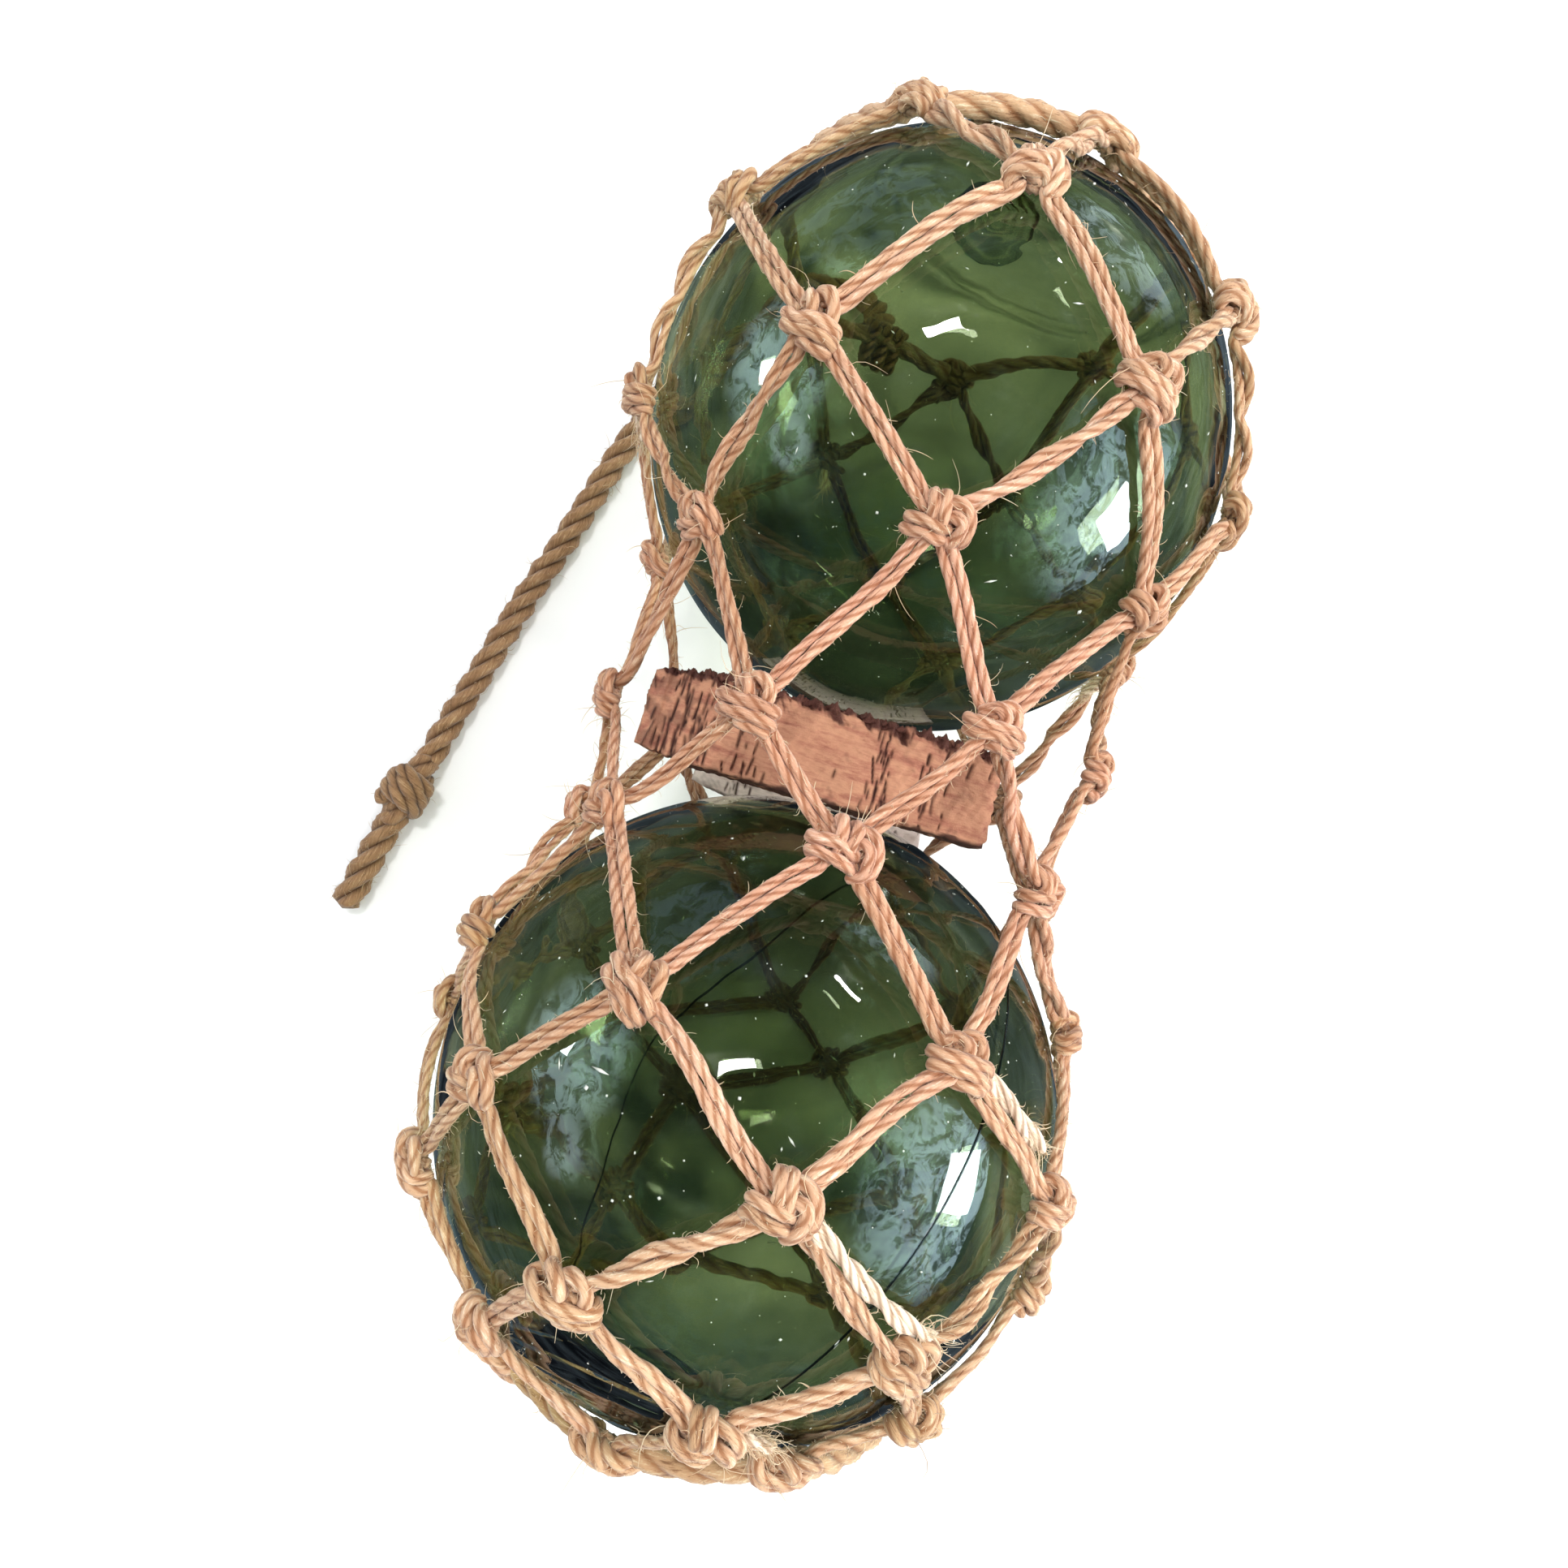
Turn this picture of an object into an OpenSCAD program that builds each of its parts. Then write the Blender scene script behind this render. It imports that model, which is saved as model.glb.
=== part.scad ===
// Double glass fishing float: two blown glass balls end to end in one knotted
// diamond-mesh net of doubled twine, cork slabs between the balls, and a rope tail.
// Long axis along Y, upper float at +Y. The origin is on the ground under the middle.

/* [Glass floats] */
// Outside diameter of each glass float
float_d = 250; // [240:2:260]
// Thickness of the blown glass wall
glass_wall = 5; // [3:0.5:8]
// Gap between the two floats on the long axis
float_gap = 42; // [41:1:46]
// Radius of the glass button that seals each float
seal_r = 19; // [14:1:24]
// Height of the sealing button above the glass
seal_h = 3.5; // [2:0.5:5]
// Height of the glass above the ground, on its pressed-down knots
glass_lift = 8; // [7:0.5:10]

/* [Net] */
// Diameter of one strand of the doubled twine
twine_d = 4.6; // [4:0.2:5]
// Space between the glass and the twine that lies over it
net_gap = 0.8; // [0.6:0.1:1.2]
// Radius of a knot
knot_r = 12.2; // [11.5:0.1:12.5]
// Radius of the net at the waist between the floats
waist_r = 100; // [98:1:104]
// Diameter of the rope round each open end of the net
ring_rope_d = 11; // [9:0.5:12]
// How far the rows of knots lean along the net, to each side
row_lean = 8; // [0:1:9]

/* [Cork] */
// Length of the front cork slab
front_cork_l = 139; // [120:1:142]
// Width of each cork slab along the net
cork_w = 38; // [30:1:39]
// Thickness of each cork slab
cork_t = 15; // [12:1:16]
// Length of the rear cork slab
rear_cork_l = 112; // [90:1:120]

/* [Tail] */
// Diameter of the laid rope of the tail
tail_d = 15; // [13:0.5:15]
// Length of the rope end past the stopper knot
tail_end_l = 58; // [40:1:70]

/* [Hidden] */
$fn = 48;

glass_green = [0.16, 0.27, 0.15];
twine_tan = [0.80, 0.60, 0.42];
rope_tan = [0.62, 0.46, 0.29];
cork_brown = [0.74, 0.50, 0.38];

float_r = float_d / 2;
axis_z = float_r + glass_lift;
float_y = float_r + float_gap / 2;
upper_centre = [0, float_y, axis_z];
lower_centre = [0, -float_y, axis_z];

// The net: meshes round it, and one entry a row, from the upper mouth to the lower one.
// A row's place is in float radii, from its own float's centre, or from the middle.
meshes = 7;
mesh_angle = 360 / meshes;
row_float = [1, 1, 1, 1, 0, 0, -1, -1, -1, -1, -1];
row_place = [0.71, 0.34, -0.17, -0.59, 0.04, -0.35, 0.37, 0, -0.35, -0.62, -0.81];
// Turn of each row about the long axis, in degrees: the net was pulled on by hand
row_turn = [-4, -2, 0, 2, -1, 0, 2, 5, 5, 4, 4];
// Knots that sit off their even place: row, knot, degrees round, mm along
moved_knots = [[0, 6, 3, -2], [0, 0, -3, 4], [1, 6, -5, 6], [1, 0, 3, -2], [1, 1, 0, -4],
    [2, 0, 1, 4], [2, 1, -4, 0], [3, 6, -4, 0], [3, 1, 3, 0], [3, 5, 6, 0],
    [4, 5, -5, 0], [4, 6, 3, -6], [4, 0, 0, 3], [4, 1, 2, 6], [5, 6, -3, 0],
    [5, 5, 5, 0], [5, 0, 2, 0], [6, 0, 0, -3], [6, 1, 0, 6], [7, 6, 0, 4],
    [7, 0, 0, -3], [7, 5, 0, 10], [8, 5, 5, 10], [8, 0, 0, -3], [9, 6, 4, 5],
    [9, 0, 2, -3], [9, 1, -6, 0], [10, 6, 7, -7], [10, 0, -4, 7],
    [6, 3, -7, -18], [8, 3, 7, 16]];
// Knots bunch a little towards the sides of the net
side_bunch = 5;
// Knot that takes the weight in rows 3, 7 and 9
bottom_knot = 3;

twine_r = float_r + net_gap + twine_d / 2;
ring_r = float_r + net_gap + ring_rope_d / 2;
// Section of a net knot: its wraps, where the middle and top ones lie, and its core
knot_wrap_r = 3.6;
knot_middle_x = 5.2;
knot_middle_z = 2.6;
knot_tip_r = 1.4;
knot_top_z = 6;
knot_core_r = knot_tip_r + 3;
knot_core_h = knot_wrap_r + 7;
knot_sink = twine_d / 2 + 0.3;
// Width of the flat web that joins a bar's two strands, as a share of one strand
web_share = 0.7;
// Bars and mouth ropes stop this far from a knot's middle
bar_trim = knot_r + 0.1;
bar_trim_a = bar_trim / twine_r * 180 / PI;
ring_trim = knot_r + 6;
ring_trim_a = ring_trim / ring_r * 180 / PI;
ground_size = 700;
ground_depth = 50;
// Larger than any turned section, to cut it to one side of its axis
section_cut = 100;
// How far a cutter runs past what it cuts
cut_over = 1;
ball_sides = 96;
seal_sides = 240;
// How far the glass has curved away at a button's rim
seal_rim_drop = 1.5;

front_cork_x = -12;
rear_cork_x = -8;
cork_y = -7;
// Height of each slab's middle above and below the long axis
cork_lift = 49.5;
// Slope at a slab's left end
cork_slope_l = 30;
cork_slope_h = 12;
// Corners broken off each slab, along it and across it
cork_left_front = [4, 5];
cork_right = [2, 3];
cork_left_back = [8, 6];
cork_left_inset = 2;

// The hitch sits on the mouth rope between this knot and the next
hitch_knot = 3;
tail_core_r = 6.2;
hitch_wrap_r = 3.4;
hitch_wrap_step = 6.4;
// The tail's route: out of the hitch, down to the ground and away along it
tail_route = [[-41, 252, 38], [-43, 272, 22], [-53, 290, 12], [-73, 298, 8],
    [-97, 292, 7.5], [-117, 272, 7.5], [-133, 245, 7.5], [-146, 215, 7.5],
    [-158, 182, 7.5], [-168, 151, 7.5], [-181, 99, 7.5], [-193, 57, 7.5],
    [-202, 18, 7.5], [-212, -24, 7.5], [-217, -50, 7.5]];
tail_last = len(tail_route) - 1;
stopper_l = 30;
stopper_r = 14;
stopper_wraps = 3;
stopper_wrap_r = 5.2;
stopper_core_inset = 1;
stopper_gap = 0.2;
tail_tip_r = 6;
tail_end_lift = 0.5;

function unit(v) = v / norm(v);
function float_centre(side) = [0, side * float_y, axis_z];
function moved(row, k) = [for (m = moved_knots) if (m[0] == row && m[1] == k) m];
function knot_shift(row, k) = len(moved(row, k)) > 0 ? moved(row, k)[0] : [row, k, 0, 0];
// Rows 1, 3, 5 and so on have their knots half a mesh round from the rows between
function even_angle(row, k) = mesh_angle * (k + (row % 2 == 0 ? 0.5 : 0));
function knot_angle(row, k) = even_angle(row, k) - side_bunch * pow(sin(even_angle(row, k)), 3)
    + row_turn[row] + knot_shift(row, k)[2];
function knot_along(row, k) = row_place[row] * float_r + knot_shift(row, k)[3]
    + row_lean * sin(knot_angle(row, k));
function knot_reach(row, k) = row_float[row] == 0 ? waist_r
    : sqrt(twine_r * twine_r - pow(knot_along(row, k), 2));
function knot_at(row, k) = [
    knot_reach(row, k) * sin(knot_angle(row, k)),
    row_float[row] * float_y + knot_along(row, k),
    axis_z + knot_reach(row, k) * cos(knot_angle(row, k))];
// Direction in which a knot stands out of the net
function knot_out(row, k) = row_float[row] == 0
    ? [sin(knot_angle(row, k)), 0, cos(knot_angle(row, k))]
    : unit(knot_at(row, k) - float_centre(row_float[row]));
function ring_at(row, k) = float_centre(row_float[row]) + ring_r * knot_out(row, k);

// Places children with their X, Y and Z along three given directions
module in_frame(at, x, y, z)
    multmatrix([[x[0], y[0], z[0], at[0]], [x[1], y[1], z[1], at[1]],
        [x[2], y[2], z[2], at[2]], [0, 0, 0, 1]]) children();

// Section of one bar: two strands of twine side by side
module strands() {
    for (side = [-1, 1]) translate([0, side * twine_d / 2]) circle(d = twine_d);
    square([twine_d * web_share, twine_d], center = true);
}

// Part of a circle round a float's centre, with children as its section
module float_arc(centre, from, normal, start, turn)
    in_frame(centre, from, cross(normal, from), normal)
        rotate([0, 0, start]) rotate_extrude(angle = turn) children();

module straight_run(from, to, out) {
    along = unit(to - from);
    across = unit(cross(out, along));
    in_frame(from, cross(along, across), across, along)
        linear_extrude(norm(to - from)) children();
}

// A bar that lies on one float from knot to knot
module lying_bar(centre, from, to) {
    a = unit(from - centre);
    b = unit(to - centre);
    float_arc(centre, a, unit(cross(a, b)), bar_trim_a, acos(a * b) - 2 * bar_trim_a)
        translate([twine_r, 0]) strands();
}

// A bar that leaves a float and curves gently away to a knot at the waist
module leaving_bar(centre, from, to) {
    out = unit(from - centre);
    drop = (from - to) * out;
    if (drop > 1) {
        bend_r = pow(norm(to - from), 2) / (2 * drop);
        normal = unit(cross(out, to - from));
        trim_a = bar_trim / bend_r * 180 / PI;
        turn = 2 * asin(norm(to - from) / 2 / bend_r);
        float_arc(from - bend_r * out, out, normal, trim_a, turn - 2 * trim_a)
            translate([bend_r, 0]) strands();
    }
    else
        waist_bar(from, to, out);
}

module waist_bar(from, to, out) {
    along = unit(to - from);
    straight_run(from + bar_trim * along, to - bar_trim * along, out) strands();
}

module bar(row_a, k_a, row_b, k_b) {
    from = knot_at(row_a, k_a);
    to = knot_at(row_b, k_b);
    if (row_float[row_a] == 0 && row_float[row_b] == 0)
        waist_bar(from, to, knot_out(row_a, k_a) + knot_out(row_b, k_b));
    else if (row_float[row_a] == 0)
        leaving_bar(float_centre(row_float[row_b]), to, from);
    else if (row_float[row_b] == 0)
        leaving_bar(float_centre(row_float[row_a]), from, to);
    else
        lying_bar(float_centre(row_float[row_a]), from, to);
}

// Every bar between one row of knots and the next
module bars(row)
    color(twine_tan)
        for (k = [0 : meshes - 1]) {
            bar(row, k, row + 1, k);
            bar(row, k, row + 1, (k + (row % 2 == 0 ? 1 : meshes - 1)) % meshes);
        }

// Section of a knot: three wraps of twine, each smaller than the one under it
module knot_section() intersection() {
    union() {
        translate([knot_r - knot_wrap_r, knot_wrap_r - knot_sink]) circle(knot_wrap_r);
        translate([knot_middle_x, knot_wrap_r + knot_middle_z]) circle(knot_wrap_r);
        translate([knot_tip_r, knot_wrap_r + knot_top_z]) circle(knot_wrap_r);
        translate([0, -knot_sink]) square([knot_r - knot_wrap_r, knot_wrap_r]);
        translate([0, -knot_sink]) square([knot_core_r, knot_core_h]);
        translate([0, -knot_sink]) square([knot_tip_r, 2 * knot_wrap_r + knot_top_z + knot_sink]);
    }
    translate([0, -section_cut]) square(2 * section_cut);
}

module knot(row, k) {
    out = knot_out(row, k);
    across = unit(cross([0, 1, 0], out));
    in_frame(knot_at(row, k), across, cross(out, across), out)
        rotate_extrude() knot_section();
}

module ground() translate([-ground_size / 2, -ground_size / 2, -ground_depth])
    cube([ground_size, ground_size, ground_depth]);

// Every knot of a row; the bottom one is pressed flat where it takes the weight
module knots(row)
    color(twine_tan)
        for (k = [0 : meshes - 1])
            if (k == bottom_knot && row_float[row] != 0)
                difference() {
                    knot(row, k);
                    ground();
                }
            else
                knot(row, k);

// Rope round one mouth of the net, from knot to knot
module mouth_rope(row)
    color(rope_tan)
        for (k = [0 : meshes - 1]) {
            centre = float_centre(row_float[row]);
            a = unit(ring_at(row, k) - centre);
            b = unit(ring_at(row, (k + 1) % meshes) - centre);
            float_arc(centre, a, unit(cross(a, b)), ring_trim_a, acos(a * b) - 2 * ring_trim_a)
                translate([ring_r, 0]) circle(d = ring_rope_d);
        }

// Hollow blown ball
module glass_float(centre)
    color(glass_green) translate(centre)
        difference() {
            sphere(float_r, $fn = ball_sides);
            sphere(float_r - glass_wall, $fn = ball_sides);
        }

// Domed button on the float's end, fused over the hole it was blown through
module seal_button(centre, side) {
    dome_h = seal_h + seal_rim_drop;
    dome_r = (seal_r * seal_r + dome_h * dome_h) / (2 * dome_h);
    color(glass_green) translate(centre) rotate([-90 * side, 0, 0])
        difference() {
            translate([0, 0, float_r + seal_h - dome_r]) sphere(dome_r, $fn = seal_sides);
            sphere(float_r, $fn = seal_sides);
            translate([0, 0, -ground_size / 2]) cube(ground_size, center = true);
        }
}

// Slab of cork bark, flat faces up and down; its left end slopes away from the flat side
module cork_slab(length, at_x, middle_z, side)
    color(cork_brown) translate([at_x, cork_y, axis_z + middle_z]) intersection() {
        translate([0, 0, -cork_t / 2]) linear_extrude(cork_t)
            polygon([[-length / 2, -cork_w / 2 + cork_left_front[1]],
                [-length / 2 + cork_left_front[0], -cork_w / 2],
                [length / 2 - cork_right[0], -cork_w / 2],
                [length / 2, -cork_w / 2 + cork_right[1]],
                [length / 2, cork_w / 2 - cork_right[1]],
                [length / 2 - cork_right[0], cork_w / 2],
                [-length / 2 + cork_left_back[0], cork_w / 2],
                [-length / 2 + cork_left_inset, cork_w / 2 - cork_left_back[1]]]);
        rotate([90, 0, 0]) translate([0, 0, -cork_w]) linear_extrude(2 * cork_w)
            polygon([[-length / 2 - cut_over, -side * cork_t],
                [length / 2 + cut_over, -side * cork_t],
                [length / 2 + cut_over, side * cork_t / 2],
                [-length / 2 + cork_slope_l, side * cork_t / 2],
                [-length / 2 - cut_over, side * (cork_t / 2 - cork_slope_h)]]);
    }

// Three wraps of the tail's rope round the upper mouth rope, outside the glass
module tail_hitch() {
    from = knot_out(0, hitch_knot);
    to = knot_out(0, hitch_knot + 1);
    out = unit(from + to);
    along = unit(to - from);
    color(rope_tan) difference() {
        in_frame(upper_centre + ring_r * out, out, cross(along, out), along)
            rotate_extrude()
                for (wrap = [-1 : 1])
                    translate([tail_core_r + hitch_wrap_r, wrap * hitch_wrap_step])
                        circle(hitch_wrap_r);
        translate(upper_centre) sphere(float_r + net_gap, $fn = ball_sides);
    }
}

// Smooth curve through the route's points
function route_point(i) = tail_route[max(0, min(tail_last, i))];
function on_ground(p) = [p[0], p[1], max(p[2], tail_d / 2)];
function on_route(i, t) = let (a = route_point(i - 1), b = route_point(i),
        c = route_point(i + 1), d = route_point(i + 2))
    on_ground(0.5 * (2 * b + (c - a) * t + (2 * a - 5 * b + 4 * c - d) * t * t
        + (3 * b - a - 3 * c + d) * t * t * t));
tail_line = [for (i = [0 : tail_last - 1], t = [0, 0.5]) on_route(i, t), tail_route[tail_last]];
function line_along(i) = unit(tail_line[min(len(tail_line) - 1, i + 1)] - tail_line[max(0, i - 1)]);
tail_sides = 12;
function tube_ring(i) = let (along = line_along(i), across = unit(cross(along, [0, 0, 1])),
        up = cross(across, along))
    [for (s = [0 : tail_sides - 1]) tail_line[i] + tail_d / 2
        * (cos(s * 360 / tail_sides) * across + sin(s * 360 / tail_sides) * up)];

module tail_rope() {
    rings = len(tail_line);
    points = [for (i = [0 : rings - 1]) each tube_ring(i)];
    sides = [for (i = [0 : rings - 2], s = [0 : tail_sides - 1])
        let (a = i * tail_sides + s, b = i * tail_sides + (s + 1) % tail_sides)
        each [[a, b, a + tail_sides], [b, b + tail_sides, a + tail_sides]]];
    color(rope_tan) polyhedron(points = points, faces = concat(sides,
        [[for (s = [tail_sides - 1 : -1 : 0]) s]],
        [[for (s = [0 : tail_sides - 1]) (rings - 1) * tail_sides + s]]));
}

tail_dir = unit(tail_route[tail_last] - tail_route[tail_last - 2]);

// Places children with Z along the tail where it lies on the ground
module along_tail(distance, height)
    in_frame([tail_route[tail_last][0], tail_route[tail_last][1], height] + distance * tail_dir,
        cross(tail_dir, [0, 0, 1]), [0, 0, 1], tail_dir) children();

// Stopper knot worked in the rope's own strands: three fat wraps
module tail_stopper_knot()
    color(rope_tan) along_tail(stopper_gap, stopper_r)
        rotate_extrude() intersection() {
            union() {
                for (wrap = [0 : stopper_wraps - 1])
                    translate([stopper_r - stopper_wrap_r, stopper_wrap_r
                        + wrap * (stopper_l - 2 * stopper_wrap_r) / (stopper_wraps - 1)])
                        circle(stopper_wrap_r);
                translate([0, stopper_core_inset])
                    square([stopper_r - stopper_wrap_r, stopper_l - 2 * stopper_core_inset]);
            }
            square(section_cut);
        }

// Short rope end past the stopper knot, with a rounded tip
module tail_rope_end()
    color(rope_tan) along_tail(stopper_l + 2 * stopper_gap, tail_d / 2 + tail_end_lift)
        rotate_extrude() intersection() {
            union() {
                square([tail_d / 2, tail_end_l - tail_tip_r]);
                translate([0, tail_end_l - 2 * tail_tip_r])
                    square([tail_d / 2 - tail_tip_r, 2 * tail_tip_r]);
                translate([tail_d / 2 - tail_tip_r, tail_end_l - tail_tip_r]) circle(tail_tip_r);
            }
            square(section_cut);
        }

module upper_glass_float() glass_float(upper_centre);
module upper_seal_button() seal_button(upper_centre, 1);
module lower_glass_float() glass_float(lower_centre);
module lower_seal_button() seal_button(lower_centre, -1);
module front_cork_slab() cork_slab(front_cork_l, front_cork_x, cork_lift, 1);
module rear_cork_slab() cork_slab(rear_cork_l, rear_cork_x, -cork_lift, -1);

upper_glass_float();
upper_seal_button();
lower_glass_float();
lower_seal_button();
front_cork_slab();
rear_cork_slab();
mouth_rope(0);  // upper_mouth_rope
mouth_rope(10);  // lower_mouth_rope
knots(0);  // net_knots_01
knots(1);  // net_knots_02
knots(2);  // net_knots_03
knots(3);  // net_knots_04
knots(4);  // net_knots_05
knots(5);  // net_knots_06
knots(6);  // net_knots_07
knots(7);  // net_knots_08
knots(8);  // net_knots_09
knots(9);  // net_knots_10
knots(10);  // net_knots_11
bars(0);  // net_bars_01_02
bars(1);  // net_bars_02_03
bars(2);  // net_bars_03_04
bars(3);  // net_bars_04_05
bars(4);  // net_bars_05_06
bars(5);  // net_bars_06_07
bars(6);  // net_bars_07_08
bars(7);  // net_bars_08_09
bars(8);  // net_bars_09_10
bars(9);  // net_bars_10_11
tail_hitch();
tail_rope();
tail_stopper_knot();
tail_rope_end();
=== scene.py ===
"""Looks of the double glass net float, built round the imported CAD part.

Everything is worked out in millimetres in the row frame and turned into metres when a mesh is made.
"""
import math

import bpy
import numpy as np
from mathutils import Matrix, Vector


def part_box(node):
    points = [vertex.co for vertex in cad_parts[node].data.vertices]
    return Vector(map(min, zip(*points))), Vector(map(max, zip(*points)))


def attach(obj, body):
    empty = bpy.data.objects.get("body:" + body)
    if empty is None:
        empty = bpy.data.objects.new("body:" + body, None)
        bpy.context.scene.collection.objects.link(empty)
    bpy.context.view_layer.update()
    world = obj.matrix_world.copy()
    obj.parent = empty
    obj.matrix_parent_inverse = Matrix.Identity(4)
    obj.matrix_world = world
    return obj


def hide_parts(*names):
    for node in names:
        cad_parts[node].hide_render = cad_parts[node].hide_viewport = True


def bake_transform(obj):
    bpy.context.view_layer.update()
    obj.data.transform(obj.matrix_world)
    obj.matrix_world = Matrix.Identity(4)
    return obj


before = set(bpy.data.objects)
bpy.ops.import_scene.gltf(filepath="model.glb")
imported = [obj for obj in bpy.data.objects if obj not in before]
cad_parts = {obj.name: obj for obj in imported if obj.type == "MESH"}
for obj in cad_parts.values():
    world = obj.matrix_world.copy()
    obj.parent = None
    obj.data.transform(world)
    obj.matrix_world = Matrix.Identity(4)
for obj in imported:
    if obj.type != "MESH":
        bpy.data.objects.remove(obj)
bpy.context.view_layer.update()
rng = np.random.default_rng(11)
MM = 0.001

# ---------------- sizes shared with part.scad
FLOAT_R = 125.0
GLASS_WALL = 5.0
AXIS_Z = 133.0
FLOAT_Y = 146.0
TWINE_D = 4.6
TWINE_R = 128.1
RING_R = 131.3
RING_ROPE_D = 11.0
WAIST_R = 100.0
MESHES = 7
ROWS = 11
ROW_FLOAT = [1, 1, 1, 1, 0, 0, -1, -1, -1, -1, -1]
ROW_PLACE = [0.71, 0.34, -0.17, -0.59, 0.04, -0.35, 0.37, 0, -0.35, -0.62, -0.81]
ROW_TURN = [-4, -2, 0, 2, -1, 0, 2, 5, 5, 4, 4]
ROW_LEAN = 8.0
SIDE_BUNCH = 5.0
# Knots that lie off the rule, by row and knot: degrees round, mm along
MOVED = {(0, 6): (3, -2), (0, 0): (-3, 4), (1, 6): (-5, 6), (1, 0): (3, -2), (1, 1): (0, -4),
         (2, 0): (1, 4), (2, 1): (-4, 0), (3, 6): (-4, 0), (3, 1): (3, 0), (3, 5): (6, 0),
         (4, 5): (-5, 0), (4, 6): (3, -6), (4, 0): (0, 3), (4, 1): (2, 6), (5, 6): (-3, 0),
         (5, 5): (5, 0), (5, 0): (2, 0), (6, 0): (0, -3), (6, 1): (0, 6), (7, 6): (0, 4),
         (7, 0): (0, -3), (7, 5): (0, 10), (8, 5): (5, 10), (8, 0): (0, -3), (9, 6): (4, 5),
         (9, 0): (2, -3), (9, 1): (-6, 0), (10, 6): (7, -7), (10, 0): (-4, 7),
         (6, 3): (-7, -18), (8, 3): (7, 16)}
TAIL_D = 15.0
TAIL_ROUTE = [(-41, 252, 38), (-43, 272, 22), (-53, 290, 12), (-73, 298, 8), (-97, 292, 7.5),
              (-117, 272, 7.5), (-133, 245, 7.5), (-146, 215, 7.5), (-158, 182, 7.5),
              (-168, 151, 7.5), (-181, 99, 7.5), (-193, 57, 7.5), (-202, 18, 7.5),
              (-212, -24, 7.5), (-217, -50, 7.5)]
STOPPER_L = 30.0
STOPPER_R = 14.0
TAIL_END_L = 58.0
HITCH_KNOT = 3
GROUND = 0.15  # how far above the floor the netting is kept


def unit(v):
    v = np.asarray(v, float)
    return v / np.linalg.norm(v)


def units(v):
    """Every vector of an array at length 1."""
    return v / np.linalg.norm(v, axis=-1, keepdims=True)


def lengths(line):
    """How far along a line each of its points is."""
    return np.r_[0, np.cumsum(np.linalg.norm(np.diff(line, axis=0), axis=1))]


def line_at(at, along, line):
    return np.column_stack([np.interp(at, along, line[:, k]) for k in range(3)])


scene = bpy.context.scene


def add_object(name, data):
    obj = bpy.data.objects.new(name, data)
    scene.collection.objects.link(obj)
    return obj


# ---------------- camera
scene.view_settings.view_transform = "Standard"
scene.view_settings.look = "None"
camera_data = bpy.data.cameras.new("camera")
camera = add_object("camera", camera_data)
scene.camera = camera
camera_data.sensor_width = 36
camera_data.lens = 22.36
camera_data.clip_start = 0.01
CAMERA_AT = Vector((-0.02157, -0.06266, 0.55381))
LOOKING = Vector((0, 0.10877, -0.99407))
PICTURE_UP = Vector((-0.27785, 0.95493, 0.10448))
side = LOOKING.cross(PICTURE_UP).normalized()
up = side.cross(LOOKING).normalized()
turn = Matrix((side, up, -LOOKING)).transposed().to_4x4()
camera.matrix_world = Matrix.Translation(CAMERA_AT) @ turn


# ---------------- lines and tubes
def smooth_line(points, step):
    """An even line through points, with a point about every step mm."""
    p = np.asarray(points, float)
    ends = np.vstack([p[:1], p, p[-1:]])
    t = np.linspace(0, 1, 10, endpoint=False)[:, None]
    out = [0.5 * (2 * b + (c - a) * t + (2 * a - 5 * b + 4 * c - d) * t * t
                  + (3 * b - a - 3 * c + d) * t ** 3)
           for a, b, c, d in zip(ends, ends[1:], ends[2:], ends[3:])]
    return even_line(np.vstack(out + [p[-1:]]), step)


def even_line(line, step):
    along = lengths(line)
    count = max(4, int(round(along[-1] / step)) + 1)
    return line_at(np.linspace(0, along[-1], count), along, line)


def frames(line, up):
    """Tangent and two cross directions along a line, the first near up at its start."""
    tangent = units(np.gradient(line, axis=0))
    across = np.empty_like(line)
    v = np.asarray(up, float)
    for i, t in enumerate(tangent):
        v = unit(v - t * (v @ t))
        across[i] = v
    return tangent, across, np.cross(tangent, across)


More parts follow.
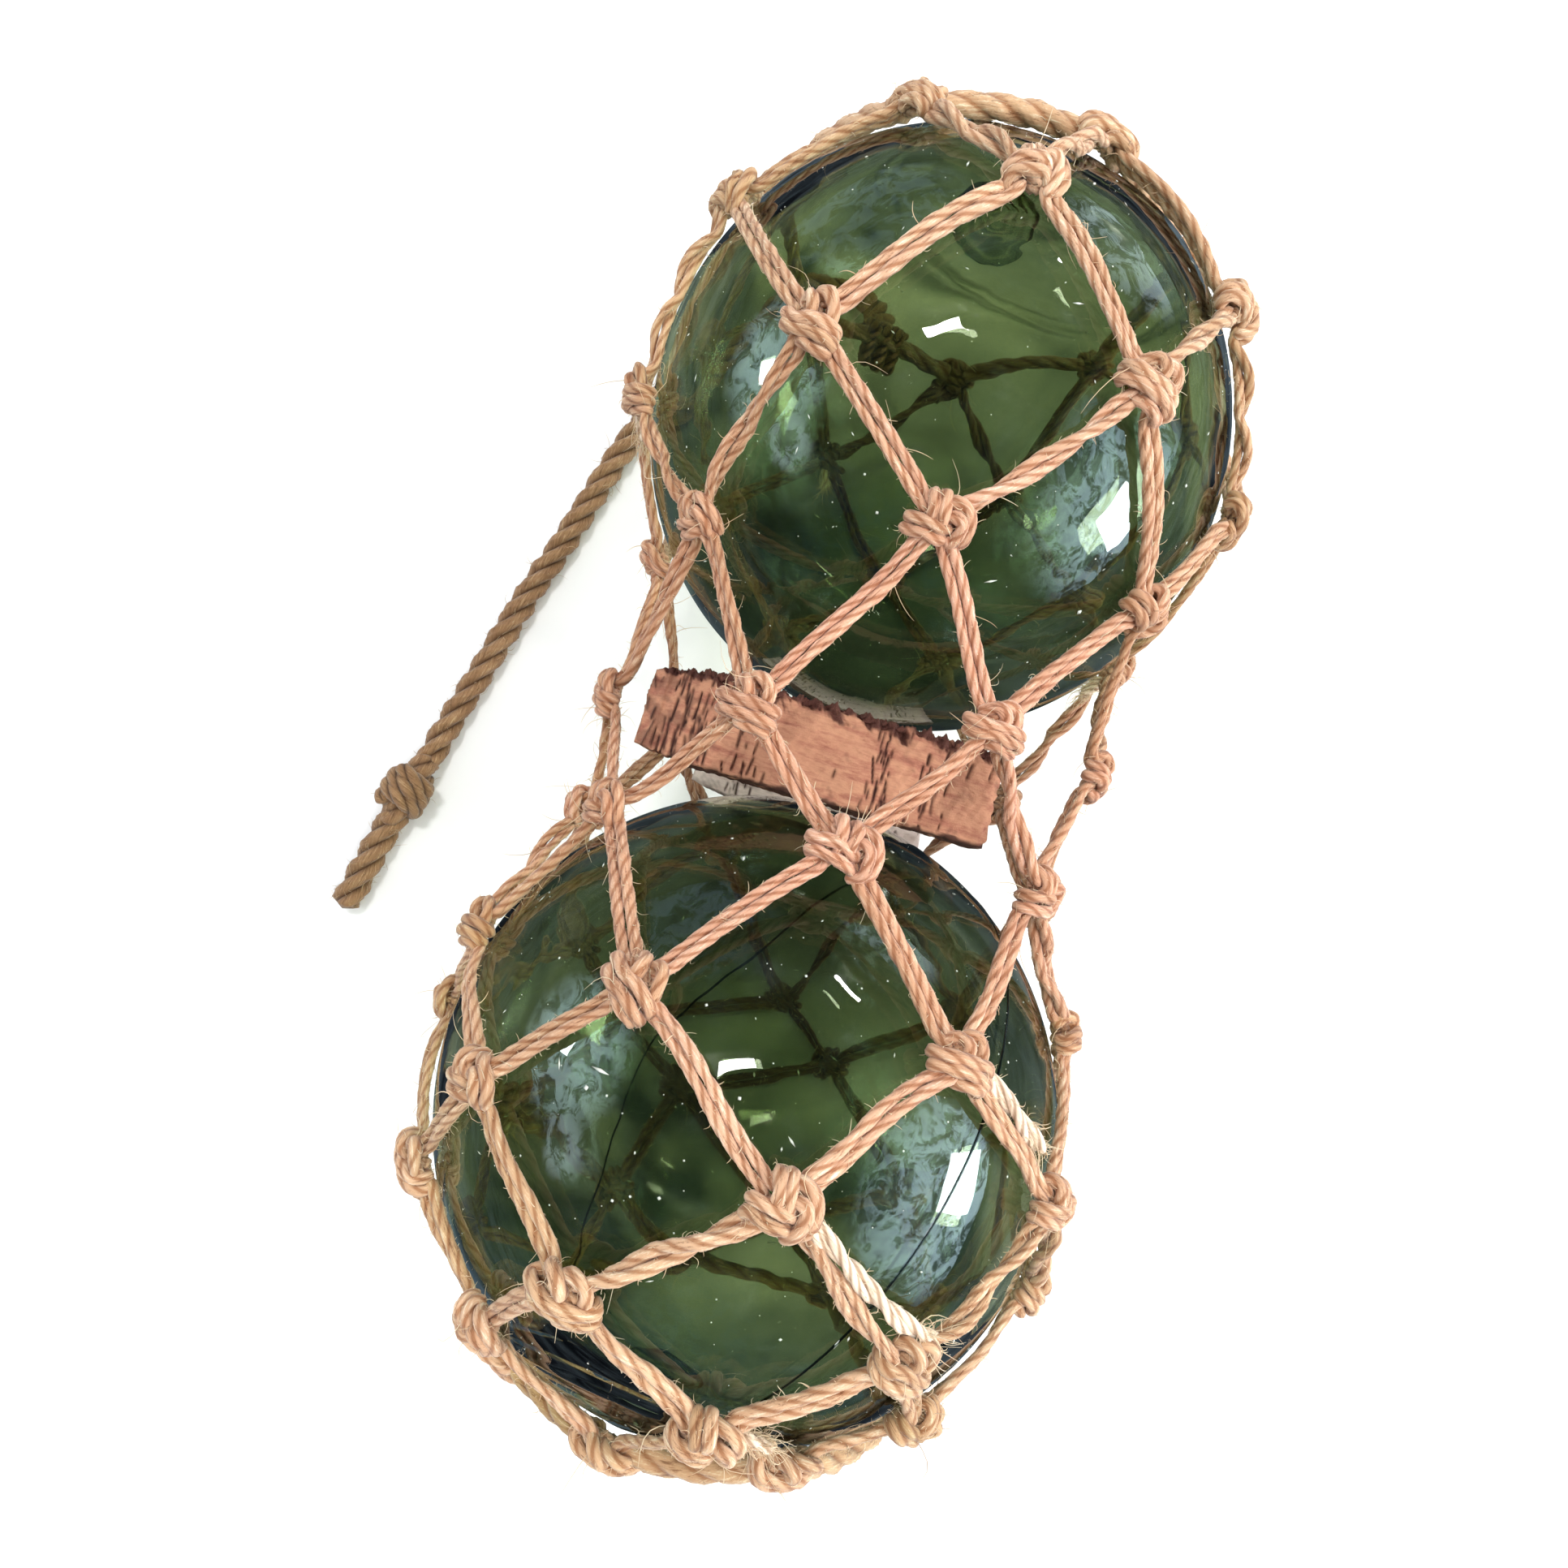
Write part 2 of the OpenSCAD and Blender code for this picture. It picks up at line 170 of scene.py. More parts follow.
class Parts:
    """Tubes and hairs that go into one mesh, with what their materials read."""

    def __init__(self):
        self.points, self.quads, self.tris = [], [], []
        self.quad_mat, self.tri_mat = [], []
        self.fibre, self.dip, self.tone = [], [], []
        self.total = 0

    def add(self, points, quads, tris, fibre, dip, tone, material=0):
        points = np.asarray(points, float).reshape(-1, 3)
        n = len(points)
        self.points.append(points)
        self.quads.append(np.asarray(quads, int).reshape(-1, 4) + self.total)
        self.tris.append(np.asarray(tris, int).reshape(-1, 3) + self.total)
        self.quad_mat.append(np.full(len(self.quads[-1]), material))
        self.tri_mat.append(np.full(len(self.tris[-1]), material))
        self.fibre.append(np.broadcast_to(fibre, (n, 3)))
        self.dip.append(np.broadcast_to(dip, n))
        self.tone.append(np.broadcast_to(tone, n))
        self.total += n

    def make(self, name, materials, cad_node, body):
        """The piece, riding on a body when it is given one. It replaces a CAD node."""
        points = np.vstack(self.points) * MM
        quads, tris = np.vstack(self.quads), np.vstack(self.tris)
        mesh = bpy.data.meshes.new(name)
        mesh.vertices.add(len(points))
        mesh.vertices.foreach_set("co", points.astype(np.float32).ravel())
        corners = np.r_[quads.ravel(), tris.ravel()]
        mesh.loops.add(len(corners))
        mesh.loops.foreach_set("vertex_index", corners.astype(np.int32))
        sizes = np.r_[np.full(len(quads), 4), np.full(len(tris), 3)]
        starts = np.r_[0, np.cumsum(sizes)[:-1]]
        mesh.polygons.add(len(sizes))
        mesh.polygons.foreach_set("loop_start", starts.astype(np.int32))
        mesh.polygons.foreach_set("material_index", np.r_[
            np.concatenate(self.quad_mat), np.concatenate(self.tri_mat)].astype(np.int32))
        mesh.polygons.foreach_set("use_smooth", np.full(len(sizes), True))
        fibre = mesh.attributes.new("fibre", "FLOAT_VECTOR", "POINT")
        fibre.data.foreach_set("vector", np.vstack(self.fibre).astype(np.float32).ravel())
        for label, values in (("dip", self.dip), ("tone", self.tone)):
            layer = mesh.attributes.new(label, "FLOAT", "POINT")
            layer.data.foreach_set("value", np.concatenate(values).astype(np.float32))
        mesh.update(calc_edges=True)
        mesh.validate()
        for m in materials:
            mesh.materials.append(m)
        obj = add_object(name, mesh)
        if cad_node:
            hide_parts(cad_node)
        if body:
            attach(obj, body)
        return obj


def grid_faces(rings, sides):
    """Quads of a tube of rings, each of sides points, and the fans that close its ends."""
    i, j = np.meshgrid(np.arange(rings - 1), np.arange(sides), indexing="ij")
    a, b = i * sides + j, i * sides + (j + 1) % sides
    quads = np.stack([a, b, b + sides, a + sides], -1).reshape(-1, 4)
    k = np.arange(sides)
    n = (k + 1) % sides
    first, last = rings * sides, rings * sides + 1
    end = (rings - 1) * sides
    tris = np.vstack([np.column_stack([n, k, np.full(sides, first)]),
                      np.column_stack([end + k, end + n, np.full(sides, last)])])
    return quads, tris


PLIES = 3
HAIR_CLEAR = 0.35   # how far loose fibres stay off the glass


def rope_section(points_per_ply, deep):
    """Angle and radius round a section of twisted plies, as shares of its radius."""
    sides = PLIES * points_per_ply
    angle = np.arange(sides) * 2 * math.pi / sides
    half = math.pi / PLIES
    near = (angle + half) % (2 * half) - half
    ply = 1 / (1 + deep)
    shift = 1 - ply
    inside = np.maximum(ply ** 2 - (shift * np.sin(near)) ** 2, 0)
    radius = shift * np.cos(near) + np.sqrt(inside)
    low = radius.min()
    return angle, radius, (1 - radius) / max(1 - low, 1e-6), near


def strand(parts, line, up, radius, pitch, deep, per_ply, tone, ends=(0.55, 0.55), rough=0.05,
           yarns=0, material=0, start=0.0):
    """One twisted strand along a line. Returns points on its surface with their directions."""
    angle, share, dip, near = rope_section(per_ply, deep)
    tangent, x, y = frames(line, up)
    along = lengths(line)
    turned = start + 2 * math.pi * along[:, None] / pitch + angle[None, :]
    marks = np.arange(0, along[-1] + 8, 4.0)
    uneven = np.interp(along, marks, 1 + rough * rng.standard_normal(len(marks)))
    size = radius * uneven
    size[0] *= ends[0]
    size[-1] *= ends[1]
    reach = size[:, None] * share[None, :]
    if yarns:
        reach = reach * (1 + 0.035 * np.cos(yarns * near[None, :] * PLIES / 2
                                            - 2 * math.pi * along[:, None] / pitch * 2))
    reach = reach * (1 + 0.02 * rng.standard_normal(reach.shape))
    out = np.cos(turned)[..., None] * x[:, None, :] + np.sin(turned)[..., None] * y[:, None, :]
    ring = line[:, None, :] + reach[..., None] * out
    quads, tris = grid_faces(len(line), len(angle))
    offset = rng.uniform(-400, 400, 3)
    fibre = np.stack([radius * np.cos(turned), radius * np.sin(turned),
                      np.broadcast_to(along[:, None] * 0.13, turned.shape)], -1) + offset
    points = np.vstack([ring.reshape(-1, 3), line[:1] - tangent[:1] * radius * 0.25,
                        line[-1:] + tangent[-1:] * radius * 0.25])
    parts.add(points, quads, tris,
              np.vstack([fibre.reshape(-1, 3), fibre[0, :1], fibre[-1, :1]]),
              np.r_[np.tile(dip, len(line)), 0.5, 0.5], tone, material)
    return ring.reshape(-1, 3), units(out).reshape(-1, 3), np.repeat(tangent, len(angle), axis=0)


def hairs(parts, surface, count, longest, keep_off=None, radius=0.11, material=1, forward=False):
    """Stray fibres that stand off a strand's surface, or fan out forward from its end."""
    ring, normal, tangent = surface
    pick = rng.integers(0, len(ring), count)
    sign = 1.0 if forward else rng.choice([-1.0, 1.0], count)[:, None]
    lean = rng.uniform(*((1.5, 6) if forward else (0.3, 1.6)), count)[:, None]
    way = units(normal[pick] + sign * lean * tangent[pick] + 0.35 * rng.standard_normal((count, 3)))
    length = np.minimum(rng.exponential(longest / 3.2, count) + longest * 0.1, longest)
    curl = rng.standard_normal((count, 3))
    curl = units(curl - way * (curl * way).sum(1)[:, None])
    bend = rng.uniform(0.1, 0.8, count)[:, None]
    second = np.cross(way, curl)
    t = np.linspace(0, 1, 6)
    line = (ring[pick][:, None, :] - 0.3 * normal[pick][:, None, :]
            + way[:, None, :] * (length[:, None] * t)[..., None]
            + curl[:, None, :] * (length[:, None] * bend * t ** 2)[..., None]
            + second[:, None, :] * (length[:, None] * 0.25 * rng.standard_normal((count, 1))
                                    * np.sin(3 * t))[..., None])
    if keep_off is not None:
        line = keep_off(line.reshape(-1, 3)).reshape(line.shape)
    line[..., 2] = np.maximum(line[..., 2], GROUND + 0.15)
    thick = radius * rng.uniform(0.7, 1.5, count)[:, None] * np.array([1, 1, 0.95, 0.85, 0.7, 0.35])
    a = np.array([0, 2, 4]) * math.pi / 3
    section = (np.cos(a)[None, None, :, None] * curl[:, None, None, :]
               + np.sin(a)[None, None, :, None] * second[:, None, None, :])
    points = line[:, :, None, :] + thick[:, :, None, None] * section
    # Each hair is six rings of three points, with a triangle over each end
    per = 6 * 3
    i, j = np.meshgrid(np.arange(5), np.arange(3), indexing="ij")
    q = np.stack([i * 3 + j, i * 3 + (j + 1) % 3, (i + 1) * 3 + (j + 1) % 3, (i + 1) * 3 + j], -1)
    first = np.arange(count)[:, None, None] * per
    quads = (q.reshape(-1, 4)[None] + first).reshape(-1, 4)
    tris = (np.array([[[2, 1, 0], [15, 16, 17]]]) + first).reshape(-1, 3)
    parts.add(points.reshape(-1, 3), quads, tris,
              np.repeat(rng.uniform(-400, 400, (count, 3)), per, axis=0), 0.0,
              np.repeat(rng.uniform(0, 1, count), per), material)


# ---------------- the net's rule, as in part.scad
def knot_angle(row, k):
    even = 360 / MESHES * (k + (0.5 if row % 2 == 0 else 0))
    bunch = SIDE_BUNCH * math.sin(math.radians(even)) ** 3
    return math.radians(even - bunch + ROW_TURN[row] + MOVED.get((row, k), (0, 0))[0])


def knot_at(row, k):
    angle = knot_angle(row, k)
    along = ROW_PLACE[row] * FLOAT_R + MOVED.get((row, k), (0, 0))[1] + ROW_LEAN * math.sin(angle)
    reach = WAIST_R if ROW_FLOAT[row] == 0 else math.sqrt(TWINE_R ** 2 - along ** 2)
    return np.array([reach * math.sin(angle), ROW_FLOAT[row] * FLOAT_Y + along,
                     AXIS_Z + reach * math.cos(angle)])


def float_centre(row):
    return np.array([0, ROW_FLOAT[row] * FLOAT_Y, AXIS_Z])


def knot_out(row, k):
    if ROW_FLOAT[row] == 0:
        angle = knot_angle(row, k)
        return np.array([math.sin(angle), 0, math.cos(angle)])
    return unit(knot_at(row, k) - float_centre(row))


def next_knots(row, k):
    """The two knots of the next row that knot k is joined to."""
    return [k, (k + (1 if row % 2 == 0 else MESHES - 1)) % MESHES]


def last_knots(row, k):
    """The two knots of the row before that knot k is joined to."""
    return [j for j in range(MESHES) if k in next_knots(row - 1, j)]


def off_glass(points, clear=HAIR_CLEAR):
    """Moves points that are in a glass ball out to its surface."""
    for y in (FLOAT_Y, -FLOAT_Y):
        centre = np.array([0, y, AXIS_Z])
        away = points - centre
        far = np.linalg.norm(away, axis=1)
        inside = far < FLOAT_R + clear
        points[inside] = centre + away[inside] / far[inside, None] * (FLOAT_R + clear)
    return points


def age_and_low_shade_of(at):
    """How weathered the twine is: 0 fresh and pink at the waist, 1 dry and olive at the sides. Twine
    that lies low also counts towards 1, which is painted shade.
    """
    side_share = min(abs(at[0]) / 120, 1)
    # Painted shade: the lower the twine lies, the darker its tone
    low_shade_share = min(max((150 - at[2]) / 150, 0), 1)
    end_share = min(max((abs(at[1]) - 120) / 170, 0), 1)
    return min(1.0, 0.55 * side_share ** 2 + 0.3 * low_shade_share + 0.35 * end_share)


def tone_at(at):
    """Tone for a strand at a place: partly its age with painted shade low down, partly a tint of its
    own.
    """
    return 0.62 * age_and_low_shade_of(at) + 0.38 * rng.uniform(0, 1)


# ---------------- materials
WHITE = (1.0, 1.0, 1.0)


class Nodes:
    """The nodes of a material or of the world. An input takes a value or a node's output."""

    def __init__(self, owner):
        owner.use_nodes = True
        self.tree = owner.node_tree
        self.shader = self.tree.nodes.get("Principled BSDF")

    def feed(self, socket, value):
        if isinstance(value, bpy.types.NodeSocket):
            self.tree.links.new(value, socket)
        else:
            socket.default_value = (*value, 1) if socket.type == "RGBA" else value

    def new(self, kind, **settings):
        n = self.tree.nodes.new("ShaderNode" + kind)
        for key, value in settings.items():
            setattr(n, key, value)
        return n

    def fill(self, node, inputs):
        for key, value in inputs.items():
            self.feed(node.inputs[key.replace("_", " ")], value)

    def add(self, kind, output=0, settings=None, **inputs):
        n = self.new(kind, **(settings or {}))
        self.fill(n, inputs)
        return n.outputs[output]

    def in_order(self, kind, values, output=0, **settings):
        """A node whose inputs are given in their order, because they share one name."""
        n = self.new(kind, **settings)
        for socket, value in zip(n.inputs, values):
            self.feed(socket, value)
        return n.outputs[output]

    def surface(self, **inputs):
        self.fill(self.shader, inputs)

    def show(self, shader):
        out = next(n for n in self.tree.nodes if n.bl_idname.startswith("ShaderNodeOutput"))
        self.tree.links.new(shader, out.inputs["Surface"])

    def attribute(self, name, output="Fac"):
        return self.add("Attribute", output, {"attribute_name": name})

    def place(self, axis=None):
        """Where a point lies in metres, or how far along one axis."""
        at = self.add("TexCoord", "Object")
        return at if axis is None else self.add("SeparateXYZ", axis, Vector=at)

    def ray(self, kind):
        return self.add("LightPath", kind)

    def noise(self, at, scale, detail=2.0, roughness=0.5, distortion=0.0):
        return self.add("TexNoise", Vector=at, Scale=scale, Detail=detail, Roughness=roughness,
                        Distortion=distortion)

    def span(self, value, from_min=0.0, from_max=1.0, to_min=0.0, to_max=1.0, **settings):
        return self.add("MapRange", 0, settings, Value=value, From_Min=from_min, From_Max=from_max,
                        To_Min=to_min, To_Max=to_max)

    def math(self, operation, a, b=0.0):
        return self.in_order("Math", (a, b), operation=operation)

    def bump(self, height, strength, distance):
        return self.add("Bump", Height=height, Strength=strength, Distance=distance)

    def ramp(self, share, *stops):
        n = self.new("ValToRGB")
        self.feed(n.inputs[0], share)
        elements = n.color_ramp.elements
        while len(elements) < len(stops):
            elements.new(0.5)
        for element, (at, colour) in zip(elements, stops):
            element.position = at
            element.color = (*colour, 1)
        return n.outputs[0]

    def mix(self, share, a, b, blend="MIX"):
        n = self.new("Mix", data_type="RGBA", blend_type=blend)
        for k, value in ((0, share), (6, a), (7, b)):
            self.feed(n.inputs[k], value)
        return n.outputs[2]

    def times(self, a, b):
        return self.mix(1.0, a, b, "MULTIPLY")


def material(name):
    m = bpy.data.materials.new(name)
    return m, Nodes(m)


def twine_material(name, dark, middle, pale, old_and_shaded, groove_shade, streak, waist_stain=WHITE, low_shade=WHITE):
    """Twisted plant fibre: streaks along the strand, blotches, painted shade in the grooves and on
    twine that lies low, bump.
    """
    m, g = material(name)
    fibre = g.attribute("fibre", "Vector")
    streaks = g.noise(fibre, streak, 6.0, 0.72)
    blotches = g.span(g.noise(fibre, 0.16, 3.0), 0.35, 0.68)
    base = g.times(g.ramp(streaks, (0.36, dark), (0.46, middle), (0.54, middle), (0.66, pale)),
                   g.mix(blotches, (0.86, 0.80, 0.76), (1.12, 1.12, 1.12)))
    # The tone tints towards the weathered colour, which also carries painted shade where the twine lies
    # low
    aged_and_shaded = g.mix(g.attribute("tone"), base, old_and_shaded, "MULTIPLY")
    # Painted shade: the grooves between the plies are darkened by their dip
    colour = g.mix(g.math("POWER", g.attribute("dip"), 2.3), aged_and_shaded, g.times(aged_and_shaded, groove_shade))
    # Cork dust has stained the twine at the waist, and painted shade darkens what lies low
    for away, near, far, stain_and_shade in ((g.math("ABSOLUTE", g.place("Y")), 0.05, 0.17, waist_stain),
                                   (g.place("Z"), 0.015, 0.12, low_shade)):
        colour = g.times(colour, g.mix(g.span(away, near, far), stain_and_shade, WHITE))
    g.surface(Base_Color=colour, Roughness=g.span(streaks, to_min=0.88, to_max=0.56),
              Normal=g.bump(streaks, 0.85, 0.0006), Sheen_Weight=0.25, Sheen_Roughness=0.45,
              Specular_IOR_Level=0.35)
    return m


def hair_material(name, a, b):
    m, g = material(name)
    colour = g.mix(g.attribute("tone"), a, b)
    streaks = g.noise(g.attribute("fibre", "Vector"), 0.7)
    g.surface(Base_Color=g.mix(streaks, colour, g.times(colour, (0.75, 0.68, 0.58))),
              Roughness=0.55, Sheen_Weight=0.2)
    return m


# The sisal twine's last colour is painted shade, a grey-black for what lies low
twine = twine_material("sisal_twine", (0.36, 0.185, 0.105), (0.76, 0.485, 0.32),
                       (1.0, 0.86, 0.68), (0.58, 0.575, 0.36), (0.60, 0.45, 0.35), streak=0.95,
                       waist_stain=(0.92, 0.78, 0.79), low_shade=(0.19, 0.19, 0.18))
pale_twine = twine_material("frayed_twine", (0.62, 0.45, 0.32), (0.93, 0.78, 0.62),
                            (1.0, 0.95, 0.86), (0.95, 0.93, 0.85), (0.5, 0.4, 0.33), streak=1.1)
rope = twine_material("laid_rope", (0.15, 0.075, 0.036), (0.31, 0.165, 0.085),
                      (0.52, 0.34, 0.20), (0.85, 0.92, 0.72), (0.22, 0.16, 0.11), streak=1.1)
hair = hair_material("stray_fibre", (0.86, 0.74, 0.52), (0.74, 0.52, 0.33))
rope_hair = hair_material("rope_fibre", (0.62, 0.48, 0.28), (0.45, 0.32, 0.17))


# ---------------- the tail: a cord first
tail_line = smooth_line(TAIL_ROUTE, 1.6)
tail_line[:, 2] = np.maximum(tail_line[:, 2], TAIL_D / 2)
tail_dir = unit(np.subtract(TAIL_ROUTE[-1], TAIL_ROUTE[-3]))
tail_across = unit(np.cross(tail_dir, (0, 0, 1)))
tail_last = np.array(TAIL_ROUTE[-1], float)


def on_tail(along, across=0.0, height=0.0):
    """A place past the route's end: mm along the rope, to its side and above the ground."""
    x, y, _ = tail_last + along * tail_dir + across * tail_across
    return np.array([x, y, height])


ROPE_PITCH = 47.0
parts = Parts()
tail_surface = strand(parts, tail_line, (0, 0, 1), TAIL_D / 2, ROPE_PITCH, 0.98, 14, 0.45,
                      rough=0.02, yarns=6)
tail = parts.make("tail_laid_rope", [rope], "tail_rope", "upper_net")

parts = Parts()
WRAP_R = 4.9
WRAP_POINTS = 44
for start in (0.8, math.pi + 0.8):
    angle = np.linspace(0, 3.1 * math.pi, WRAP_POINTS)
    reach = STOPPER_R - WRAP_R - 0.3 * np.sin(angle)
    along = 5.4 + (STOPPER_L - 10.5) * np.linspace(0, 1, WRAP_POINTS)
    coil = np.array([on_tail(x, r * math.cos(a + start), STOPPER_R + 0.3 + r * math.sin(a + start))
                     for x, a, r in zip(along, angle, reach)])
    stopper_surface = strand(parts, coil, tail_dir, WRAP_R, 30, 0.5, 8, 0.5, (0.5, 0.5), 0.04)
core = smooth_line([on_tail(-6, 0, 9), on_tail(8, 0, 12), on_tail(22, 0, 12.5), on_tail(36, 0, 9.5)], 2)
strand(parts, core, (0, 0, 1), 7.6, 40, 0.6, 8, 0.4)
hairs(parts, stopper_surface, 60, 7)
stopper = parts.make("tail_stopper_wraps", [rope, rope_hair], "tail_stopper_knot",
                     "upper_net")

parts = Parts()
end_line = smooth_line([on_tail(STOPPER_L - 1, 0, 9.5), on_tail(STOPPER_L + 14, 0.8, 8.4),
                        on_tail(STOPPER_L + 34, 0.2, 8.3),
                        on_tail(STOPPER_L + TAIL_END_L - 1.5, -0.6, 8.3)], 1.5)
end_surface = strand(parts, end_line, (0, 0, 1), 8.0, 44, 0.9, 14, 0.5, (0.9, 0.62), 0.02, 6)
hairs(parts, end_surface, 110, 8)
rope_end = parts.make("tail_rope_end_laid", [rope, rope_hair], "tail_rope_end",
                      "upper_net")

parts = Parts()
hairs(parts, tail_surface, 420, 8, material=0)
tail_fuzz = parts.make("tail_fuzz", [rope_hair], None, "upper_net")


# ---------------- bars of the net
def arc(u, v, t):
    """Directions from u to v on their great circle, at shares t of the way."""
    angle = math.acos(u @ v)
    return (np.sin((1 - t) * angle) * u + np.sin(t * angle) * v) / math.sin(angle)


def bar_line(row, k, next_row, j):
    """Middle line of a bar from knot to knot, and the way out of the net along it."""
    a, b = knot_at(row, k), knot_at(next_row, j)
    out_a, out_b = knot_out(row, k), knot_out(next_row, j)
    t = np.linspace(0, 1, 60)[:, None]
    if ROW_FLOAT[row] != 0 and ROW_FLOAT[row] == ROW_FLOAT[next_row]:
        centre = float_centre(row)
        out = arc(unit(a - centre), unit(b - centre), t)
        return centre + TWINE_R * out, out
    for float_row, start, end, out, back in ((row, a, b, out_a, False), (next_row, b, a, out_b, True)):
        drop = (start - end) @ out
        if ROW_FLOAT[float_row] != 0 and drop > 1:
            bend_r = np.linalg.norm(end - start) ** 2 / (2 * drop)
            middle = start - bend_r * out
            away = unit((end - middle) - ((end - middle) @ out) * out)
            full = 2 * math.asin(np.linalg.norm(end - start) / 2 / bend_r)
            way = np.cos(t * full) * out + np.sin(t * full) * away
            line = middle + bend_r * way
            return (line[::-1], way[::-1]) if back else (line, way)
    return a + (b - a) * t, units(out_a * (1 - t) + out_b * t)


STRAND_STEP = 1.35      # between the rings of a long strand
IN_KNOT = 4.5           # how far from a knot's middle its bars start
TWISTED_SHARE = 0.28    # of bars, whose two strands are twisted round each other
STRAND_GROOVE = 0.33    # depth of the grooves between a strand's plies
PER_PLY = 5             # points round each ply of a netting strand


def knot_rise(distance):
    """How far a bar's strands rise as they go into a knot, by distance from its middle."""
    return 3.2 * np.clip((13.5 - distance) / 8, 0, 1) ** 2


def add_bar(parts, row, k, next_row, j):
    line, out = bar_line(row, k, next_row, j)
    line = even_line(line, STRAND_STEP)
    outs = units(line_at(np.linspace(0, 1, len(line)), np.linspace(0, 1, len(out)), out))
    from_start = lengths(line)
    from_end = from_start[-1] - from_start
    keep = (from_start > IN_KNOT) & (from_end > IN_KNOT)
    line, outs, from_start, from_end = line[keep], outs[keep], from_start[keep], from_end[keep]
    across = units(np.cross(outs, np.gradient(line, axis=0)))
    span = from_start[-1] - from_start[0]
    share = (from_start - from_start[0]) / span
    sway = rng.normal(0, 1.1) * np.sin(math.pi * share) \
        + rng.normal(0, 0.5) * np.sin(2 * math.pi * share)
    rise = knot_rise(from_start) + knot_rise(from_end)
    # Some pairs lie side by side, others are twisted round each other
    twisted = rng.uniform() < TWISTED_SHARE
    turns = span / rng.uniform(52, 80) * rng.choice([1, 1, 1, -1]) if twisted else rng.normal(0, 0.06)
    phase = rng.normal(0, 0.18)
    angle = phase + 2 * math.pi * turns * (share - 0.5) \
        + (0 if twisted else 0.25 * np.sin(5 * share + phase * 9))
    lift = np.abs(np.sin(angle)) * TWINE_D / 2 * 0.92
    middle = line + across * sway[:, None] + outs * (rise + lift)[:, None]
    half = TWINE_D / 2 * (0.86 + 0.04 * rng.standard_normal())
    tone = tone_at(line[len(line) // 2])
    for sign in (-1, 1):
        apart = np.cos(angle)[:, None] * across + np.sin(angle)[:, None] * outs
        squeeze = 1 - 0.35 * np.clip((11 - np.minimum(from_start, from_end)) / 6, 0, 1)
        path = off_glass(middle + sign * apart * (half * squeeze)[:, None], TWINE_D / 2 - 0.1)
        path[:, 2] = np.maximum(path[:, 2], TWINE_D / 2 + GROUND)
        surface = strand(parts, path, outs[0], half * 1.04, rng.uniform(20, 30), STRAND_GROOVE,
                         PER_PLY, np.clip(tone + rng.normal(0, 0.07), 0, 1), (0.6, 0.6), 0.07,
                         start=rng.uniform(0, 6.28))
        hairs(parts, surface, rng.integers(48, 64), 3.6, off_glass, 0.11)
        hairs(parts, surface, rng.integers(2, 7), 13.0, off_glass, 0.13)


# ---------------- knots of the net
# Strands of a knot seen from outside: x to the right, y up the net, z out of it, in mm.
# A sheet bend in doubled twine shows a front face on one row and a back face on the next,
# because the net was turned over after each row.
FRONT_KNOT = [
    [(-4.4, 7, -0.4), (-4.6, 10.8, 2.6), (-4.2, 9.8, 6.8), (-3.6, 6, 9), (-3, 1.5, 8.4),
     (-2.6, -2, 4.5)],
    [(0.4, 7, -0.4), (0.2, 11, 2.6), (0.6, 9.9, 7), (0.9, 6, 9.2), (1.2, 1.5, 8.6),
     (1.4, -2, 4.5)],
    [(1.5, 6, 1.5), (4.4, 9.6, 4.6), (9.4, 7.6, 6.4), (12.4, 1.6, 6), (11.4, -4.8, 4.6),
     (7.6, -8.6, 1)],
    [(2, 1, 4.5), (4.6, 4.4, 9), (8, 3, 9.6), (9, -1.8, 8.8), (7.2, -6.4, 6.6), (4.2, -9.4, 1.6)],
    [(-8.6, -0.6, -0.4), (-12.2, 0.2, 3), (-10.6, 0.9, 7.2), (-5, 0.7, 9.4), (0.8, 0.1, 9.6),
     (5.2, -1.2, 5)],
    [(-8.6, -5.4, -0.4), (-12, -4.9, 3), (-10.2, -4.2, 6.8), (-4.6, -4.6, 9), (1.2, -5.2, 8.4),
     (5, -6.2, 4)]]
BACK_KNOT = [
    [(-9.4, 4, -0.4), (-12.6, 3.4, 3.2), (-10.6, 2.6, 7.6), (-4, 0.8, 9.8), (4, -0.8, 9.8),
     (10.4, -2.4, 7.4), (12.4, -3, 3), (9, -3, -0.4)],
    [(-9.2, -1, -0.4), (-12.2, -1.4, 3), (-10.2, -2.2, 7.2), (-4, -4, 9.2), (4, -5.4, 9),
     (10, -7.2, 6.6), (11.8, -7.8, 2.6), (8, -7.4, -0.4)],
    [(-4.2, -6.2, 2), (-1.6, -8, 5.6), (3.6, -9.6, 6), (8.6, -10.8, 3.6), (7.6, -10.4, -0.2)],
    [(-6.4, 6.8, 1), (-3.4, 9.2, 5), (-0.6, 9, 8.2), (1.4, 5.2, 9.6), (0.6, 0.6, 6)],
    [(-1, 4.6, 3), (2.6, 9.6, 5.4), (7.4, 9.8, 6.6), (10.4, 5.2, 6.2), (9.4, 0.6, 5),
     (6, -2.4, 3.2)]]
KNOT_HALF = 8.2             # half the length of the strands packed inside a knot
KNOT_TILT = 0.16
KNOT_SIZE = (0.80, 0.88)
KNOT_WIDE = (0.94, 1.06)
KNOT_SHIFT = 0.42           # how far a strand's points stray from the pattern
KNOT_STRAND = (0.97, 1.09)  # a knot strand's thickness, as a share of the twine's
UNDER_FLOAT = 25            # knots lower than this take the float's weight
COLLAR_LIFT = 0.9           # the seal's collar passes under the first row when the ball turns


def knot_axes(row, k):
    """Axes of a knot: across the net, up it towards the upper mouth, and out of it."""
    at, out = knot_at(row, k), knot_out(row, k)
    above = last_knots(row, k) if row > 0 else []
    below = next_knots(row, k) if row < ROWS - 1 else []
    way = sum(unit(knot_at(row - 1, j) - at) for j in above) \
        - sum(unit(knot_at(row + 1, j) - at) for j in below)
    way = unit(way - (way @ out) * out)
    return at, np.cross(way, out), way, out


